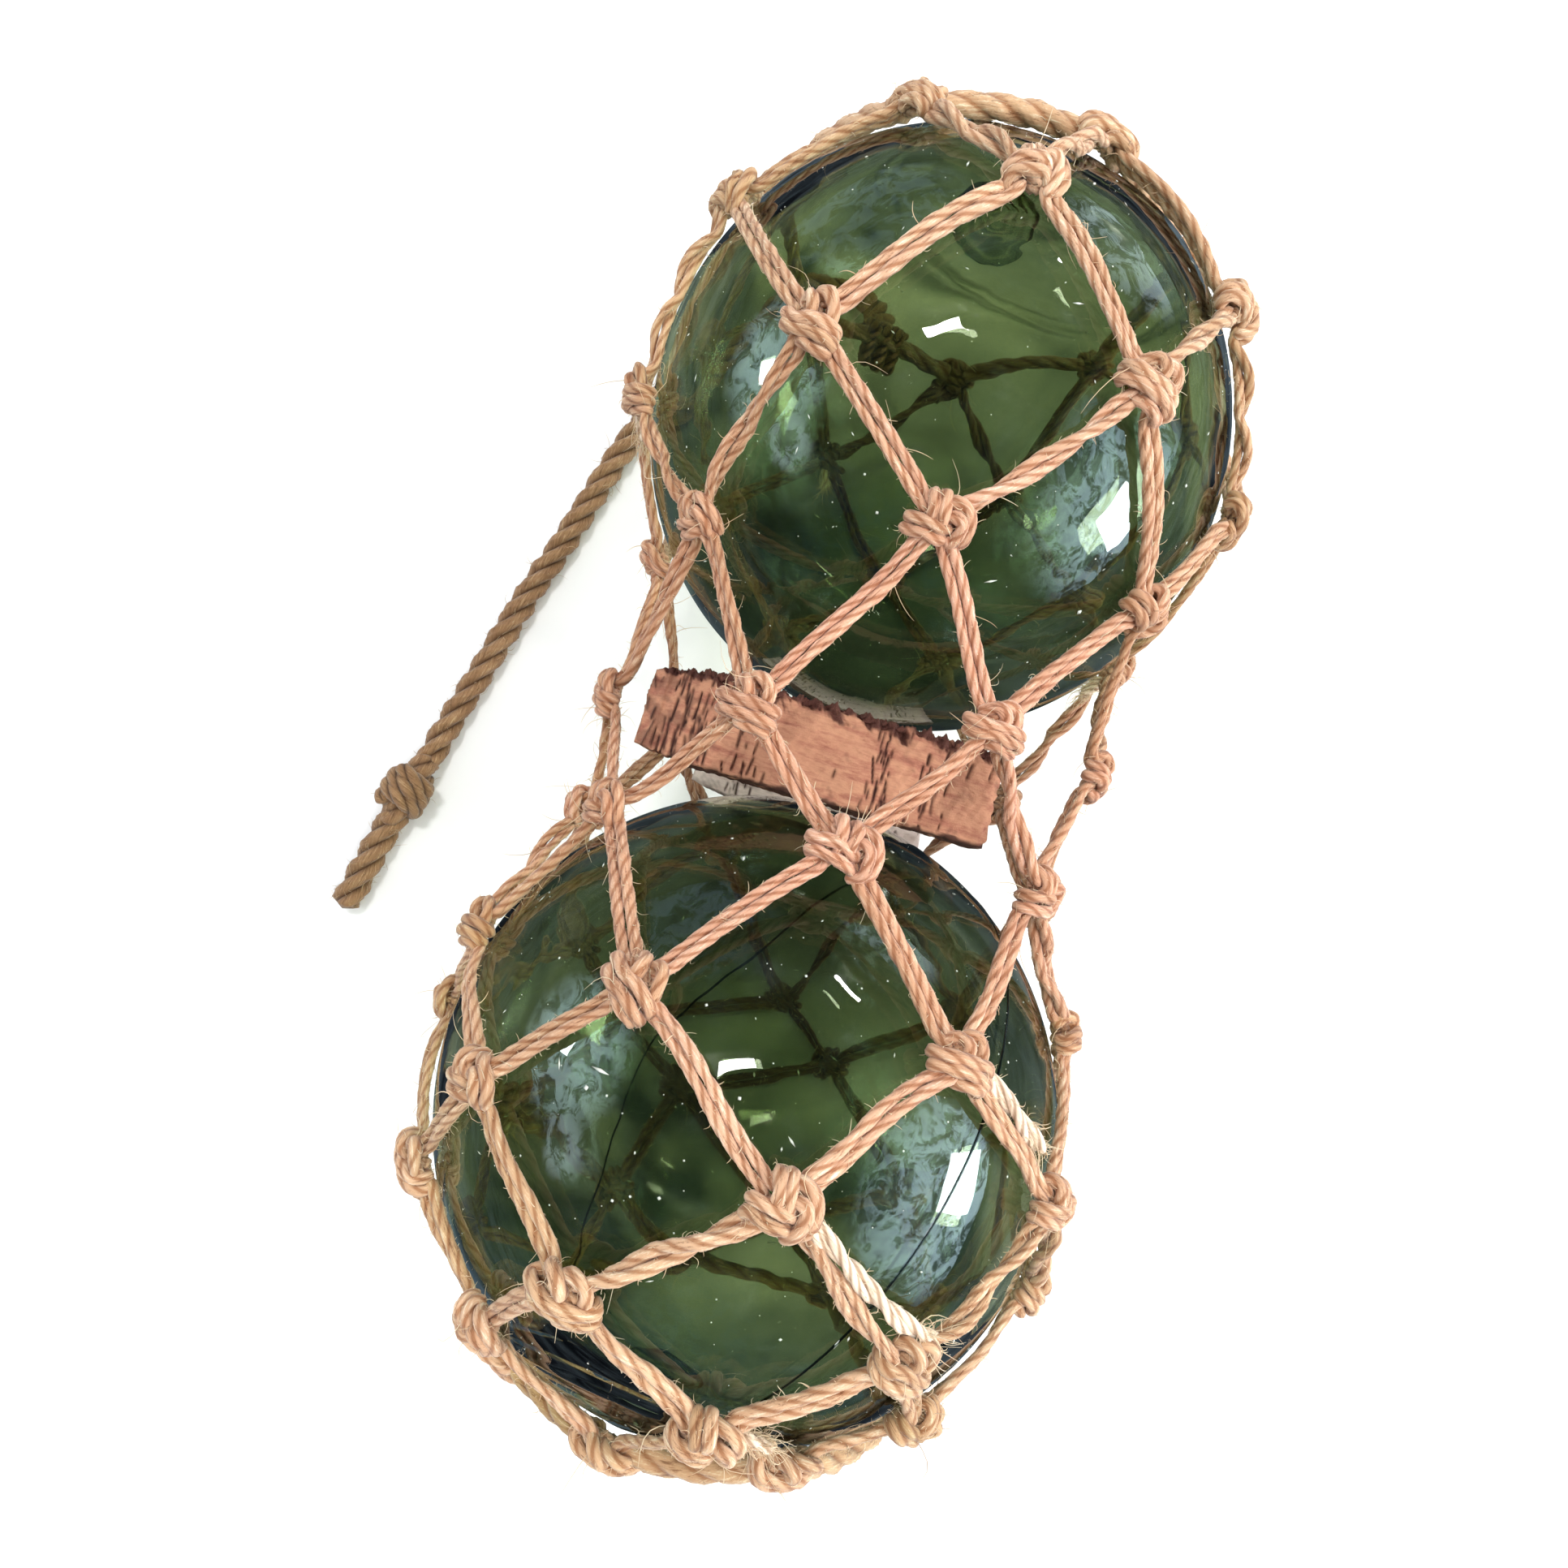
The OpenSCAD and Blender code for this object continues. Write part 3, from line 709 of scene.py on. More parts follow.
def add_knot(parts, row, k):
    at, x, y, z = knot_axes(row, k)
    tilt = rng.normal(0, KNOT_TILT)
    x, y = x * math.cos(tilt) + y * math.sin(tilt), y * math.cos(tilt) - x * math.sin(tilt)
    size = rng.uniform(*KNOT_SIZE)
    wide = rng.uniform(*KNOT_WIDE)
    axes = np.array([x * wide, y / wide, z])
    shape = FRONT_KNOT if row % 2 else BACK_KNOT
    tone = tone_at(at)
    lifted = COLLAR_LIFT if row == 0 else 0

    def keep_off(points):
        return off_glass(points, HAIR_CLEAR + lifted)

    def place(local):
        p = at + (np.asarray(local) * size) @ axes
        if at[2] < UNDER_FLOAT:
            low = p[:, 2] < TWINE_D / 2 + GROUND
            p[low, 2] = TWINE_D / 2 + GROUND + 0.12 * (p[low, 2] - TWINE_D / 2)
            p[:, 2] = np.maximum(p[:, 2], TWINE_D / 2 + 0.3)
        return p

    for points in shape:
        points = np.array(points, float)
        points[1:-1] += rng.normal(0, KNOT_SHIFT, points[1:-1].shape)
        line = off_glass(even_line(place(smooth_line(points, 0.8)), 1.1), TWINE_D / 2 - 0.2 + lifted)
        surface = strand(parts, line, z, TWINE_D / 2 * rng.uniform(*KNOT_STRAND), rng.uniform(18, 26),
                         STRAND_GROOVE, PER_PLY, np.clip(tone + rng.normal(0, 0.08), 0, 1), (0.5, 0.5),
                         start=rng.uniform(0, 6.28))
        hairs(parts, surface, rng.integers(24, 34), 3.2, keep_off, 0.10)
        hairs(parts, surface, rng.integers(1, 5), 17.0, keep_off, 0.14)
    # Strands packed inside the knot
    for height in (1.2, 4.6):
        for shift in (-4.2, 0, 4.2):
            half = KNOT_HALF - abs(shift)
            inner = place([(-half, shift, height), (0, shift * 1.1, height + 0.8),
                           (half, shift, height)])
            strand(parts, smooth_line(off_glass(inner, TWINE_D / 2 + lifted), 2.2), z,
                   TWINE_D / 2 * 1.15, 14, 0.5, 4, tone, (0.5, 0.5))


FRAYED_RINGS = 12   # of a cut end, from which its fibres fan out


def add_cut_tail(parts, row, k, j, side, first, last, curl):
    """A cut end of twine that lies beside the bar from a knot to knot j of the next row."""
    line, out = bar_line(row, k, row + 1, j)
    far = lengths(line)
    along = np.arange(first, last, 1.2)
    over = np.maximum(along - far[-1], 0)
    points = line_at(along, far, line) + over[:, None] * unit(line[-1] - line[-2])
    outs = line_at(along, far, out)
    across = units(np.cross(outs, np.gradient(points, axis=0)))
    share = (along - first) / (last - first)
    beside = side * (1.12 * TWINE_D - 2.2 * np.exp(-share * 8)) + curl * share ** 3
    middle = points + across * beside[:, None] + outs * (2.0 + 3 * np.exp(-share * 6))[:, None]
    for sign in (-1, 1):
        angle = 2 * math.pi * (last - first) / 42 * share + 1.5 + (0 if sign > 0 else math.pi)
        path = middle + 1.4 * (np.cos(angle)[:, None] * across + np.sin(angle)[:, None] * outs)
        path = off_glass(path, 1.8)
        path[:, 2] = np.maximum(path[:, 2], 2.0 + GROUND)
        surface = strand(parts, path, outs[0], 2.0, rng.uniform(20, 26), 0.5, PER_PLY,
                         rng.uniform(0, 0.5), (0.5, 0.45), 0.07, material=2)
        hairs(parts, surface, 60, 5.0, off_glass, 0.11)
        tip = [values[-FRAYED_RINGS * PLIES * PER_PLY:] for values in surface]
        hairs(parts, tip, 70, 12.0, off_glass, 0.15, forward=True)


# Row, knot, next knot, side of the bar, from and to in mm along it, curl at the end in mm
CUT_TAILS = [(6, 0, 1, 1, 4, 50, 2), (7, 0, 0, 1, 4, 74, 7), (9, 0, 0, 1, 4, 22, 4),
             (3, 2, 3, -1, 4, 16, -4), (2, 5, 5, 1, 4, 17, 3), (5, 3, 2, 1, 4, 18, 4),
             (8, 4, 5, -1, 4, 17, -3), (1, 4, 3, 1, 4, 15, 4)]


# ---------------- ropes round the mouths
def add_mouth_rope(parts, row):
    for k in range(MESHES):
        u = knot_out(row, k)
        t = np.linspace(0, 1, 60)[:, None]
        out = arc(u, knot_out(row, (k + 1) % MESHES), t)
        # The rope hangs a little slack into the mouth
        pole = np.array([0, 1.0 if row == 0 else -1.0, 0])
        slack = rng.uniform(0.026, 0.044) * np.sin(math.pi * t)
        out = units(out + slack * (pole - (out @ pole)[:, None] * out))
        reach = RING_R - 1.4 + rng.normal(0, 0.2)
        line = even_line(float_centre(row) + reach * out, STRAND_STEP)[3:-3]
        line[:, 2] = np.maximum(line[:, 2], RING_ROPE_D / 2 + GROUND)
        # The lower rope is drawn darker and more olive
        lower_rope_darkening = 0 if row == 0 else 0.4
        surface = strand(parts, line, u, RING_ROPE_D / 2 * 0.86, rng.uniform(38, 48), 0.6, 9,
                         min(1, tone_at(line[len(line) // 2]) + lower_rope_darkening), (0.6, 0.6), 0.03, 8)
        hairs(parts, surface, 70, 3.5, off_glass, 0.1)
        hairs(parts, surface, 10, 14.0, off_glass, 0.12)


HITCH_TURNS = 3.2
HITCH_R = 9.4
HITCH_STEP = 6.4    # along the mouth rope, from turn to turn


def add_hitch(parts):
    """Three turns of the tail's rope round the upper mouth rope, then down to the tail."""
    u, v = knot_out(0, HITCH_KNOT), knot_out(0, HITCH_KNOT + 1)
    out, along = unit(u + v), unit(v - u)
    cross = np.cross(along, out)
    centre = float_centre(0) + RING_R * out
    share = np.linspace(-0.5, 0.5, 110)[:, None]
    angle = 2 * math.pi * HITCH_TURNS * (share + 0.5) - math.pi * 0.35
    coil = centre + HITCH_R * (np.cos(angle) * out + np.sin(angle) * cross) \
        + share * HITCH_TURNS * HITCH_STEP * along
    coil = off_glass(coil, 3.2)
    strand(parts, coil, along, 3.5, 16, 0.7, 7, 0.5)
    first, second = np.array(TAIL_ROUTE[:2], float)
    lead = smooth_line([centre + 8 * out + 3 * along, centre + 13 * out, first,
                        (first + second) / 2], 1.5)
    surface = strand(parts, lead, along, 7.2, ROPE_PITCH, 0.9, 8, 0.45, (0.5, 0.9))
    hairs(parts, surface, 50, 6)


LOWER_ROW = 5   # the first row of the lower net


def net_row_body(row):
    return "upper_net" if row < LOWER_ROW else "lower_net"


for row in range(ROWS - 1):
    parts = Parts()
    for k in range(MESHES):
        for j in next_knots(row, k):
            add_bar(parts, row, k, row + 1, j)
    bars = f"bars_{row + 1:02d}_{row + 2:02d}"
    bends = net_row_body(row) != net_row_body(row + 1)
    piece = parts.make(f"twine_{bars}", [twine, hair], f"net_{bars}",
                       None if bends else net_row_body(row))
    if bends:
        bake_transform(piece)

for row in range(ROWS):
    parts = Parts()
    for k in range(MESHES):
        add_knot(parts, row, k)
    for tail_row, k, j, side, first, last, curl in CUT_TAILS:
        if tail_row == row:
            add_cut_tail(parts, row, k, j, side, first, last, curl)
    parts.make(f"twine_knots_{row + 1:02d}", [twine, hair, pale_twine], f"net_knots_{row + 1:02d}",
               net_row_body(row))

for row, label in ((0, "upper"), (ROWS - 1, "lower")):
    parts = Parts()
    add_mouth_rope(parts, row)
    parts.make(f"{label}_mouth_rope_twisted", [twine, hair], f"{label}_mouth_rope",
               f"{label}_net")

parts = Parts()
add_hitch(parts)
parts.make("tail_hitch_turns", [rope, rope_hair], "tail_hitch", "upper_net")


# ---------------- glass
def glass_material(name, green, shadow):
    """Old green glass: streaky colour, faint ripples and smears; lamps shine through it."""
    m, g = material(name)
    at = g.place()
    streaks = g.noise(at, 9.0, 3.0, distortion=1.2)
    smears = g.noise(at, 38.0, 6.0, 0.7)
    ripples = g.noise(at, 16.0, distortion=0.8)
    g.surface(Base_Color=g.mix(streaks, [c * 0.86 for c in green], [min(1, c * 1.14) for c in green]),
              Roughness=g.span(smears, 0.52, 0.85, 0.012, 0.11),
              Normal=g.bump(ripples, 0.22, 0.004), Transmission_Weight=1.0, IOR=1.5)
    g.show(g.in_order("MixShader", (g.ray("Is Shadow Ray"), g.shader.outputs[0],
                                    g.add("BsdfTransparent", Color=shadow))))
    return m


def speck_material():
    m, g = material("dust_specks")
    g.surface(Base_Color=g.mix(g.noise(g.place(), 220.0), (0.55, 0.60, 0.52), (0.95, 0.95, 0.90)),
              Roughness=0.7)
    return m


glass = glass_material("green_glass", (0.43, 0.505, 0.33), (0.89, 0.905, 0.88))
seal_glass = glass_material("seal_glass", (0.80, 0.86, 0.76), (0.92, 0.95, 0.90))
dark_glass = glass_material("thick_glass", (0.05, 0.085, 0.07), (0.35, 0.45, 0.38))
specks = speck_material()


def bumps(directions, strength, low, high, seed):
    """Slow random swells over a sphere."""
    own = np.random.default_rng(seed)
    total = np.zeros(len(directions))
    for _ in range(9):
        way = own.standard_normal(3)
        way *= own.uniform(low, high) / np.linalg.norm(way)
        total += np.sin(directions @ way + own.uniform(0, 6.28))
    return strength * total / 3


def ridge(directions, normal, offset, tall, half):
    """Height of a raised line of glass along a circle on a ball."""
    return tall * np.exp(-(((directions @ unit(normal)) - offset) * FLOAT_R / half) ** 2)


def round_shell(parts, centre, reach, outward, columns, rows):
    """A sphere whose radius is reach(directions), with its poles on the long axis."""
    lat = np.linspace(0, math.pi, rows + 1)[1:-1]
    lon = np.arange(columns) * 2 * math.pi / columns
    a, b = np.meshgrid(lat, lon, indexing="ij")
    ways = np.stack([np.sin(a) * np.sin(b), np.cos(a), np.sin(a) * np.cos(b)], -1).reshape(-1, 3)
    ways = np.vstack([ways, [0, 1, 0], [0, -1, 0]])
    points = centre + ways * reach(ways)[:, None]
    quads, tris = grid_faces(len(lat), columns)
    if outward:
        quads, tris = quads[:, ::-1], tris[:, ::-1]
    parts.add(points, quads, tris, 0, 0, 0)


SEAM_NORMAL, SEAM_OFFSET = (0.835, -0.403, -0.375), 0.078
SEAM_R, SEAM_PROUD = 0.6, 0.3
SPECKS = 950                # grains of dust on each ball
OUTER_GRID = (360, 180)     # a shell's points round it and from pole to pole
INNER_GRID = (160, 80)
SEAL_POINTS = 96
SEAL_RIM_DROP = 1.5


def add_seam(parts, centre, material):
    """The mould's seam: a raised ring of glass along a circle on a ball."""
    count, sides = 240, 10
    normal = unit(SEAM_NORMAL)
    u = unit(np.cross(normal, (0.3, 0.2, 1)))
    v = np.cross(normal, u)
    angle = np.linspace(0, 2 * math.pi, count, endpoint=False)
    cos, sin = np.cos(angle)[:, None], np.sin(angle)[:, None]
    ways = SEAM_OFFSET * normal + math.sqrt(1 - SEAM_OFFSET ** 2) * (cos * u + sin * v)
    line = centre + ways * (FLOAT_R + SEAM_PROUD - SEAM_R)
    uneven = 1 + 0.12 * np.sin(3 * angle + 1) + 0.08 * np.sin(7 * angle)
    sideways = np.cross(ways, cos * v - sin * u) * uneven[:, None]
    around = np.linspace(0, 2 * math.pi, sides, endpoint=False)[None, :, None]
    out = np.cos(around) * ways[:, None] + np.sin(around) * sideways[:, None]
    points = line[:, None] + SEAM_R * out
    i, j = np.meshgrid(np.arange(count), np.arange(sides), indexing="ij")
    after, beside = (i + 1) % count * sides, (j + 1) % sides
    quads = np.stack([i * sides + j, after + j, after + beside, i * sides + beside], -1).reshape(-1, 4)
    parts.add(points, quads, np.empty((0, 3)), 0, 0, 0, material)


OCTA = np.array([[1, 0, 0], [0, 1, 0], [-1, 0, 0], [0, -1, 0], [0, 0, 1], [0, 0, -1]], float)
OCTA_FACES = np.array([[0, 1, 4], [1, 2, 4], [2, 3, 4], [3, 0, 4],
                       [1, 0, 5], [2, 1, 5], [3, 2, 5], [0, 3, 5]])


def add_specks(parts, centre, material):
    """Dust on the glass: tiny flat grains."""
    for _ in range(SPECKS):
        way = unit(rng.standard_normal(3))
        u = unit(np.cross(way, (0.2, 0.5, 1)))
        v = np.cross(way, u)
        wide = 0.14 + rng.exponential(0.13)
        long = wide * (1 if rng.uniform() < 0.8 else rng.uniform(2, 6))
        turned = rng.uniform(0, 3.14)
        a = math.cos(turned) * u + math.sin(turned) * v
        b = math.cos(turned) * v - math.sin(turned) * u
        points = centre + way * (FLOAT_R + 0.12) + OCTA @ np.array([a * long, b * wide, way * 0.1])
        parts.add(points, np.empty((0, 4)), OCTA_FACES, 0, 0, 0, material)


# Ball, its side of the waist, the way to its seal, the cosine of its collar's angle, seed
for label, side_of, seal_way, collar_cos, seed in (
        ("upper", 1, (0.17, 0.95, 0.25), 0.82, 3), ("lower", -1, (-0.10, -0.93, 0.35), 0.905, 5)):
    centre = np.array([0, side_of * FLOAT_Y, AXIS_Z])
    pole = unit(seal_way)
    share = math.sqrt(1 - collar_cos ** 2)
    parts = Parts()
    round_shell(parts, centre, lambda w: FLOAT_R + bumps(w, 0.16, 3, 9, seed)
                + ridge(w, seal_way, collar_cos, 0.8, 2.0 * share)
                + ridge(w, seal_way, collar_cos + 0.035, -0.35, 2.6 * share), True, *OUTER_GRID)
    round_shell(parts, centre, lambda w: FLOAT_R - GLASS_WALL + bumps(w, 0.75, 4, 13, seed + 1)
                - 5.5 * np.exp(-((1 - w @ pole) / 0.09)), False, *INNER_GRID)
    if side_of < 0:
        add_seam(parts, centre, 1)
    add_specks(parts, centre, 2)
    parts.make(f"{label}_blown_ball", [glass, dark_glass, specks], f"{label}_glass_float",
               f"{label}_float")

    # The seal: a gob of glass pressed over the blow hole, with rings from the tool
    parts = Parts()
    seal_lo, seal_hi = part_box(f"{label}_seal_button")
    seal_r = (seal_hi.x - seal_lo.x) / 2 / MM
    seal_top = (seal_hi.y if side_of > 0 else -seal_lo.y) / MM - FLOAT_Y
    dome_h = seal_top - FLOAT_R + SEAL_RIM_DROP
    dome_r = (seal_r ** 2 + dome_h ** 2) / (2 * dome_h)
    lon = np.arange(SEAL_POINTS) * 2 * math.pi / SEAL_POINTS
    # Its rings, out under the gob and then back in over its top
    rings = [(seal_r * s, np.full(SEAL_POINTS, math.sqrt((FLOAT_R - 0.6) ** 2 - (seal_r * s) ** 2)))
             for s in np.linspace(0.02, 0.99, 8)]
    for share in np.linspace(1, 0.02, 40):
        r = seal_r * share
        top = seal_top - dome_r + math.sqrt(dome_r ** 2 - r ** 2)
        rings.append((r, top + 0.2 * (np.sin(r * 1.5 + lon) - 1) * (1 - share ** 6)))
    rings = [np.column_stack([r * np.sin(lon), side_of * tall, r * np.cos(lon)]) for r, tall in rings]
    quads, tris = grid_faces(len(rings), SEAL_POINTS)
    points = np.vstack(rings + [rings[0].mean(0), rings[-1].mean(0)]) + centre
    if side_of < 0:
        quads, tris = quads[:, ::-1], tris[:, ::-1]
    parts.add(points, quads, tris, 0, 0, 0)
    parts.make(f"{label}_seal_gob", [seal_glass], f"{label}_seal_button",
               f"{label}_float")


# ---------------- cork
def cork_material(name, light, middle, speck, bark, slit_and_shade):
    """Cut cork with long grain, cells and patches; bark by its tone; slits, and painted shadow along
    one edge, by its dip.
    """
    m, g = material(name)
    fibre = g.attribute("fibre", "Vector")
    grain = g.noise(g.add("Mapping", Vector=fibre, Scale=(0.22, 1.0, 1.0)), 0.26, 8.0, 0.66)
    cells = g.noise(fibre, 2.6, 4.0, 0.7)
    patches = g.noise(fibre, 0.07, 3.0)
    cut = g.ramp(grain, (0.27, speck), (0.38, middle), (0.55, light), (0.78, middle))
    flecks = g.ramp(cells, (0.30, (0.5, 0.38, 0.32)), (0.40, WHITE))
    face = g.times(g.mix(0.55, cut, g.times(cut, flecks)),
                   g.mix(patches, (0.88, 0.80, 0.80), (1.12, 1.16, 1.14)))
    rind = g.ramp(cells, (0.35, [0.35 * c for c in bark]), (0.65, bark))
    colour = g.mix(g.attribute("dip"), g.mix(g.attribute("tone"), face, rind), slit_and_shade)
    g.surface(Base_Color=colour, Roughness=g.span(cells, to_min=0.95, to_max=0.62),
              Normal=g.bump(cells, 0.8, 0.0008), Specular_IOR_Level=0.3)
    return m


def swells(points, scale, strength, seed, octaves=4):
    """Cheap fractal swells at points, in mm."""
    own = np.random.default_rng(seed)
    total = np.zeros(len(points))
    for octave in range(octaves):
        for _ in range(5):
            way = own.standard_normal(3)
            way *= 2 * math.pi / (scale / 1.9 ** octave) / np.linalg.norm(way)
            total += np.sin(points @ way + own.uniform(0, 6.28)) / 5 ** 0.5 * 0.62 ** octave
    return total * strength


CORK_STEP = 0.55
CORK_CORNER = 1.6
SLOPE_L, SLOPE_DROP = 30, 11    # the left end slopes down and narrows
BEVEL_L, BEVEL_DROP = 4, 2.2    # the right end has a small bevel


def cork_slab(name, cad_node, body, look, up_way, slit_groups, seed, clean_end):
    """A slab of cork bark: cut faces with slits, ragged bark along its +Y edge, painted shadow along
    its -Y edge.
    """
    lo, hi = (np.array(c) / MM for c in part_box(cad_node))
    centre, size = (lo + hi) / 2, hi - lo
    length, width, thick = size
    own = np.random.default_rng(seed)
    stations = np.arange(-length / 2, length / 2 + 0.01, CORK_STEP)
    # One ring: top face, +Y edge, under face, -Y edge, with small round corners
    w, t, corner = width / 2, thick / 2, CORK_CORNER
    outline = []
    for cy, cz, start in ((w - corner, t - corner, 0), (w - corner, corner - t, -90),
                          (corner - w, corner - t, -180), (corner - w, t - corner, -270)):
        for a in np.linspace(90, 0, 5) + start:
            a = math.radians(a)
            outline.append((cy + corner * math.cos(a), cz + corner * math.sin(a), 0.0))
    outline = even_line(np.array(outline + outline[:1]), CORK_STEP)[:-1, :2]
    count = len(outline)
    x = np.repeat(stations, count)
    y = np.tile(outline[:, 0], len(stations))
    z = np.tile(outline[:, 1], len(stations))
    left = np.clip(1 - (x + length / 2) / SLOPE_L, 0, 1)
    right = np.clip(1 - (length / 2 - x) / BEVEL_L, 0, 1)
    top = np.clip((z + t) / thick, 0, 1)
    z = z - SLOPE_DROP * left ** 1.7 * top - BEVEL_DROP * right ** 2 * top
    y = y * (1 - 0.22 * left ** 2.2 - 0.05 * right ** 2)
    p = np.column_stack([x, y, z])
    bark = 1 / (1 + np.exp(-(y - w + 4.2 + swells(p, 9, 1.6, seed + 1)) / 0.5))
    # Painted shadow: the -Y side and the edge next to it are marked dark, as the slab's underside in
    # shade
    shaded_edge = 1 / (1 + np.exp((y + w - 1.3 + swells(p, 12, 0.7, seed + 2)) / 0.3))
    # Slits run across the slab, in groups
    deep = np.zeros(len(p))
    for at, spread, number, span in slit_groups:
        for _ in range(number):
            x0, y0 = at + own.normal(0, spread), own.uniform(-w, w)
            half, wide, slant = own.uniform(1.5, span), own.uniform(0.22, 0.6), own.normal(0, 0.10)
            off = (x - x0 - slant * (y - y0)) / wide
            deep = np.maximum(deep, np.exp(-off ** 2) * np.clip((half - np.abs(y - y0)) / 1.5, 0, 1)
                              * own.uniform(0.6, 1))
    deep = deep * (1 - bark * 0.7) * np.clip((w - np.abs(y)) / 1.2, 0.15, 1)
    inward = 0.25 * swells(p, 25, 1, seed + 3, 3) + 0.14 * swells(p, 4, 1, seed + 4, 3) - 1.5 * deep \
        + bark * (1.1 * swells(p, 6, 1, seed + 5, 4) - 0.7)
    out_way = np.column_stack([np.zeros(len(p)), y / w * (np.abs(y) > w - 2.2),
                               np.sign(z) * (np.abs(np.tile(outline[:, 1], len(stations))) > t - 1.0)])
    out_way /= np.maximum(np.linalg.norm(out_way, axis=1), 1)[:, None]
    p = p + out_way * (inward - 0.5)[:, None]
    p[:, 0] += np.where(np.abs(x) > length / 2 - 1, swells(p, 5, 0.5, seed + 6, 3), 0)
    p[:, 2] *= up_way
    points = p + centre
    quads, tris = grid_faces(len(stations), count)
    ends = np.array([points[:count].mean(0), points[-count:].mean(0)])
    if up_way > 0:
        quads, tris = quads[:, ::-1], tris[:, ::-1]
    # The dip carries the slits and the painted shadow along the -Y edge
    marks = np.maximum(np.clip(deep * 1.25, 0, 1), 0.92 * shaded_edge)
    worn = np.clip(1 - (x + length / 2) / 46, 0, 1)
    weathered = np.clip(0.8 * swells(p, 12, 1, seed + 7) - 1.0 + clean_end * worn, 0, 1)
    age = np.clip(bark + 0.5 * weathered, 0, 1)
    parts = Parts()
    parts.add(np.vstack([points, ends]), quads, tris, np.vstack([p, p[:1], p[-1:]]),
              np.r_[marks, 0, 0], np.r_[age, 0.3, 0.1])
    parts.make(name, [look], cad_node, body)


# The last colour of each cork darkens its slits and paints shadow along its -Y edge
front_cork = cork_material("cork_front", (0.60, 0.30, 0.18), (0.43, 0.17, 0.11), (0.22, 0.075, 0.05),
                           (0.17, 0.062, 0.045), (0.05, 0.018, 0.015))
rear_cork = cork_material("cork_rear", (0.74, 0.62, 0.58), (0.60, 0.47, 0.43), (0.30, 0.20, 0.18),
                          (0.20, 0.12, 0.10), (0.06, 0.03, 0.025))
# Slits come in groups: place along the slab, spread of the places, number, longest half
cork_slab("front_cork_bark_slab", "front_cork_slab", "front_cork", front_cork, 1,
          [(-52, 8, 64, 8), (-27, 6, 18, 5), (24, 2.2, 26, 9), (46, 6, 24, 5), (0, 34, 8, 2.5)],
          21, 1.5)
cork_slab("rear_cork_bark_slab", "rear_cork_slab", "rear_cork", rear_cork, -1,
          [(-35, 8, 26, 5), (5, 20, 30, 4), (38, 6, 20, 6)], 41, 1.0)

# ---------------- floor, light
# The floor is pale. Glass shows it darker than it is: through the glass a painted shadow, dark at the
# waist, with dark and pale stripes along Y, and in reflections a painted dark reflection, because the
# float lay in a room and not on a sheet of light.
floor_material, g = material("pale_floor")
painted_patches = g.noise(g.place(), 7.0, 3.0, distortion=0.7)
# Painted shadow: the floor seen through the glass is dark, in patches
painted_shadow_seen = g.ramp(painted_patches, (0.36, (0.07, 0.09, 0.085)), (0.46, (0.30, 0.305, 0.28)),
                (0.60, (0.54, 0.53, 0.49)))
# Painted shade and light in stripes along Y: dark at the waist and in a dark blue stripe, brighter than
# the floor in the pale stripes
painted_stripes = g.ramp(g.span(g.place("Y"), -0.45, 0.50),
               (0.03, (0.05, 0.12, 0.32)), (0.115, (0.25, 0.35, 0.45)), (0.17, (1.0, 1.0, 0.95)),
               (0.30, (0.80, 0.80, 0.80)), (0.41, (0.32, 0.34, 0.32)), (0.53, (0.14, 0.17, 0.24)),
               (0.61, (0.36, 0.43, 0.43)), (0.70, (0.95, 1.0, 0.92)), (0.82, (1.15, 1.15, 1.0)),
               (0.93, (0.35, 0.40, 0.42)))
# Painted reflection: the floor seen in the glass is nearly black, in patches
painted_reflection = g.ramp(painted_patches, (0.40, (0.010, 0.014, 0.020)), (0.66, (0.10, 0.13, 0.15)))
seen = g.mix(g.ray("Is Glossy Ray"), (0.92, 0.92, 0.92), painted_reflection)
seen = g.mix(g.ray("Is Transmission Ray"), seen, g.times(painted_shadow_seen, painted_stripes))
g.surface(Base_Color=seen, Roughness=0.9, Specular_IOR_Level=0.1)
FLOOR_HALF = 12.0
floor_mesh = bpy.data.meshes.new("floor")
floor_mesh.from_pydata([(-FLOOR_HALF, -FLOOR_HALF, 0), (FLOOR_HALF, -FLOOR_HALF, 0),
                        (FLOOR_HALF, FLOOR_HALF, 0), (-FLOOR_HALF, FLOOR_HALF, 0)], [], [(0, 1, 2, 3)])
floor_mesh.materials.append(floor_material)
add_object("floor", floor_mesh)


def softbox(name, way, distance, wide, tall, power, colour=(1, 1, 1)):
    """An area light that stands in a direction from the float and faces it."""
    data = bpy.data.lights.new(name, "AREA")
    data.shape = "RECTANGLE"
    data.size, data.size_y = wide, tall
    data.energy = power
    data.color = colour
    lamp = add_object(name, data)
    way = Vector(way).normalized()
    lamp.location = Vector((0, 0, AXIS_Z * MM)) + way * distance
    lamp.rotation_euler = way.to_track_quat("Z", "Y").to_euler()
    return lamp


softbox("ceiling_lamp", (-0.155, 0.29, 0.945), 6.0, 1.35, 0.45, 130)
softbox("ceiling_lamp_far", (0.35, 0.76, 0.55), 6.0, 0.9, 0.12, 60)
softbox("window_right", (0.965, -0.10, 0.20), 4.0, 1.0, 1.0, 90, (0.88, 0.97, 1.0))
softbox("window_left", (-0.93, 0.05, 0.36), 4.0, 0.55, 0.5, 30, (0.88, 0.97, 1.0))
key = softbox("key_softbox", (0.62, -0.15, 0.77), 4.0, 2.2, 2.2, 105)
key.visible_glossy = False
key.visible_transmission = False

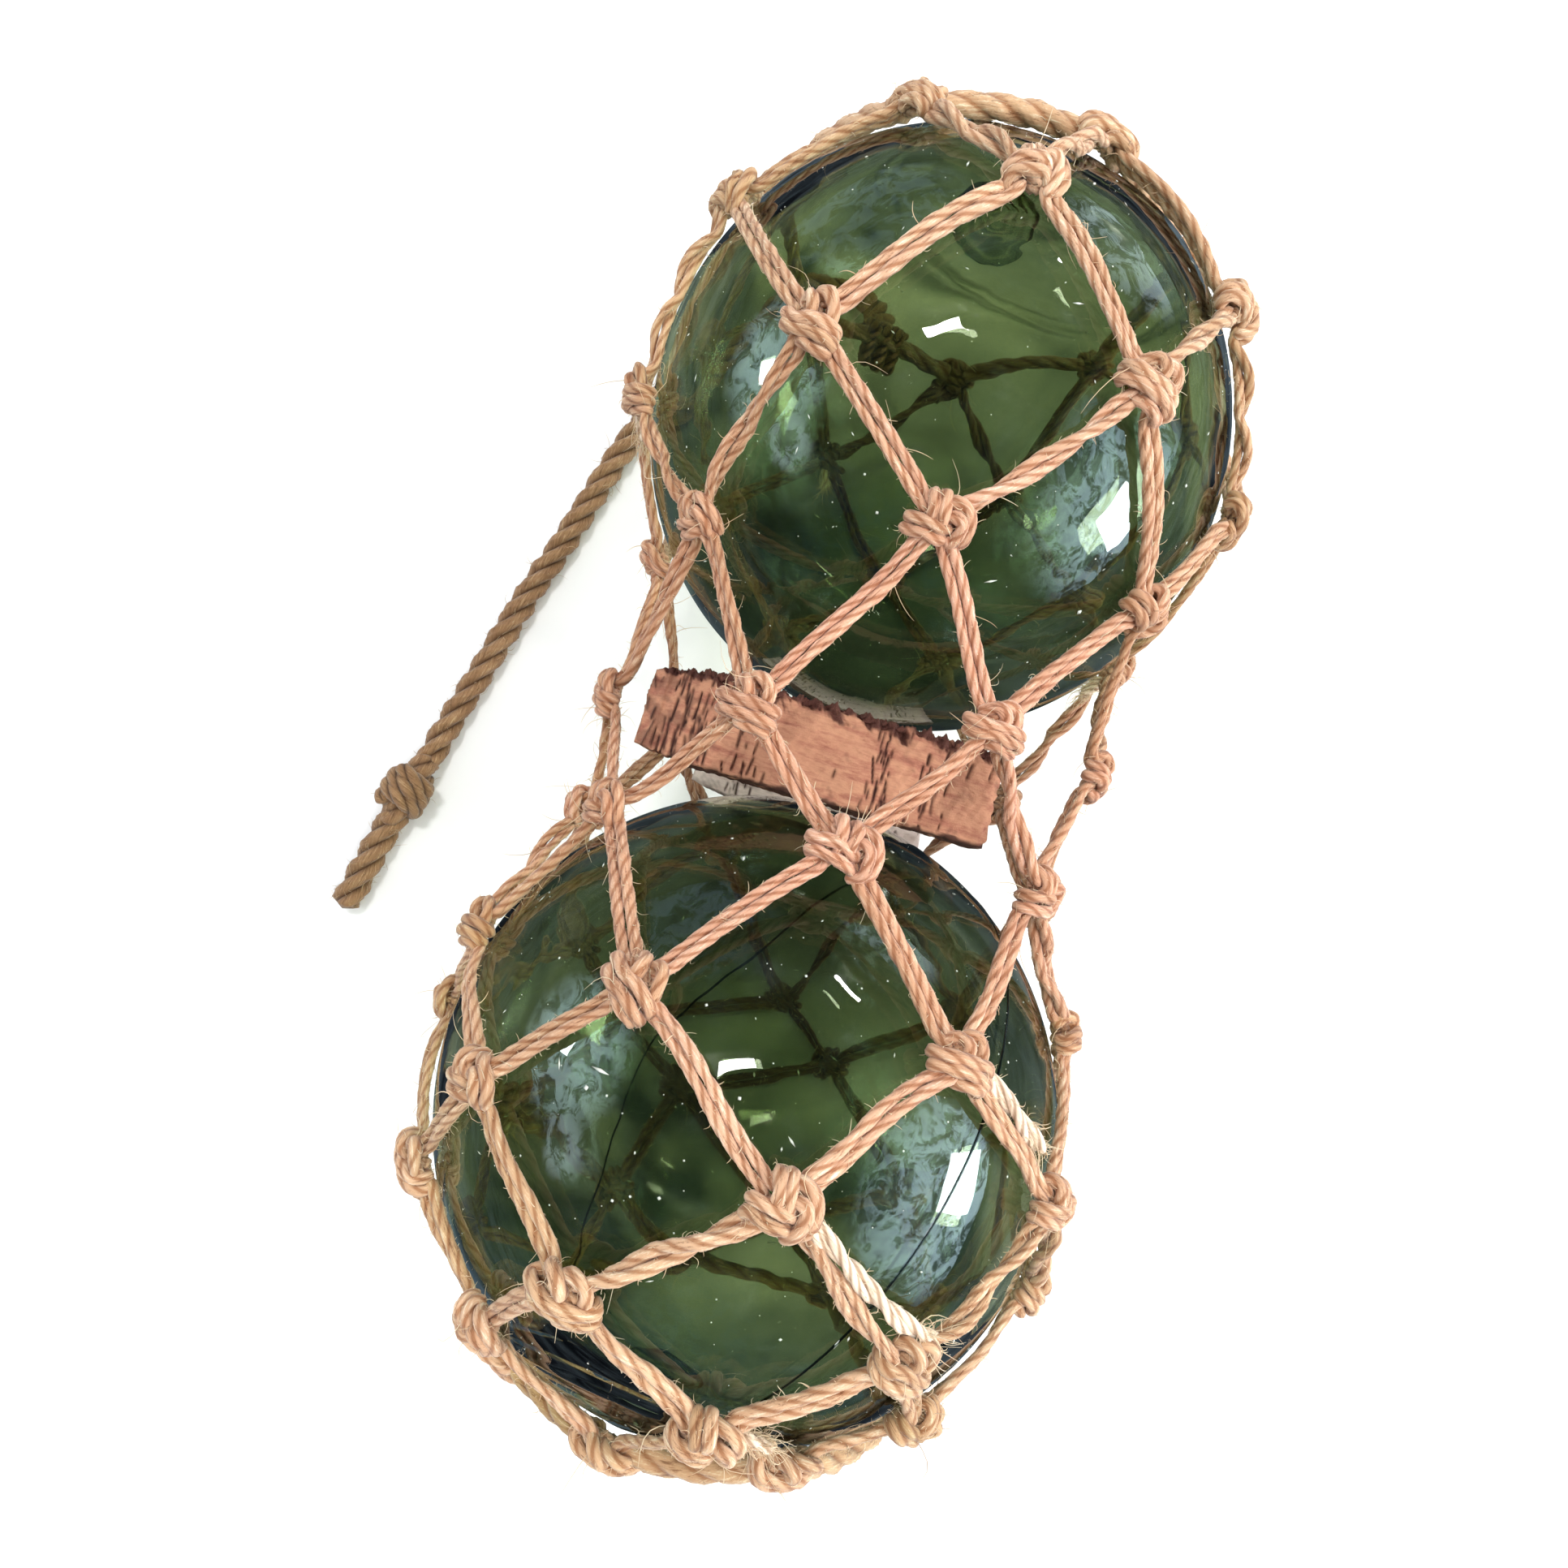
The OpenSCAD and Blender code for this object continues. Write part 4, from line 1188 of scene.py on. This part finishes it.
# What gleams on the glass is a dim room with pale windows, each a soft patch of light:
# the way to it, where it is full and where it ends (cosines), and its colour
WINDOWS = [((0.95, -0.10, 0.28), 0.99, 0.80, (3.8, 5.3, 6.2)),
           ((-0.90, 0.05, 0.40), 0.985, 0.90, (3.0, 4.2, 4.6)),
           ((-0.75, -0.35, 0.40), 0.998, 0.980, (2.6, 3.4, 3.8)),
           ((-0.60, 0.60, 0.45), 0.998, 0.985, (2.0, 3.2, 2.8)),
           ((-0.51, 0.78, 0.27), 0.98, 0.90, (0.35, 0.50, 0.72)),
           ((0.48, 0.87, 0.12), 0.985, 0.95, (1.8, 2.3, 2.6)),
           ((-0.20, -0.90, 0.30), 0.98, 0.80, (0.02, 0.06, 0.16))]
FRAME_SHARE = 0.12  # how much of a window's light its dark parts still give

world = bpy.data.worlds.new("studio")
scene.world = world
g = Nodes(world)
way_out = g.add("TexCoord", "Generated")
room = g.ramp(g.noise(way_out, 2.6, 4.0, 0.62, 0.5), (0.38, (0.006, 0.008, 0.012)),
              (0.50, (0.035, 0.045, 0.05)), (0.60, (0.11, 0.14, 0.16)), (0.72, (0.40, 0.50, 0.58)))
panes = g.ramp(g.noise(way_out, 9.0, 4.0, 0.7, 0.9), (0.44, (0, 0, 0)), (0.54, WHITE))
for way, full, end, colour in WINDOWS:
    toward = g.in_order("VectorMath", (way_out, Vector(way).normalized()), "Value",
                        operation="DOT_PRODUCT")
    patch = g.span(toward, end, full, interpolation_type="SMOOTHSTEP")
    room = g.mix(patch, room, g.mix(panes, [FRAME_SHARE * c for c in colour], colour))
# The room shows only in the glass as the camera sees it; all else gets even, plain light
on_glass = g.math("MAXIMUM", g.ray("Is Glossy Ray"), g.ray("Is Transmission Ray"))
direct = g.math("LESS_THAN", g.ray("Diffuse Depth"), 0.5)
plain = g.tree.nodes["Background"]
plain.inputs["Color"].default_value = (0.95, 0.98, 1.0, 1)
plain.inputs["Strength"].default_value = 0.80
g.show(g.in_order("MixShader", (g.math("MULTIPLY", on_glass, direct), plain.outputs[0],
                                g.add("Background", Color=room))))

scene.cycles.max_bounces = 20
scene.cycles.transmission_bounces = 16
scene.cycles.glossy_bounces = 6
scene.cycles.diffuse_bounces = 4
scene.cycles.transparent_max_bounces = 16
scene.cycles.caustics_reflective = False
scene.cycles.caustics_refractive = True
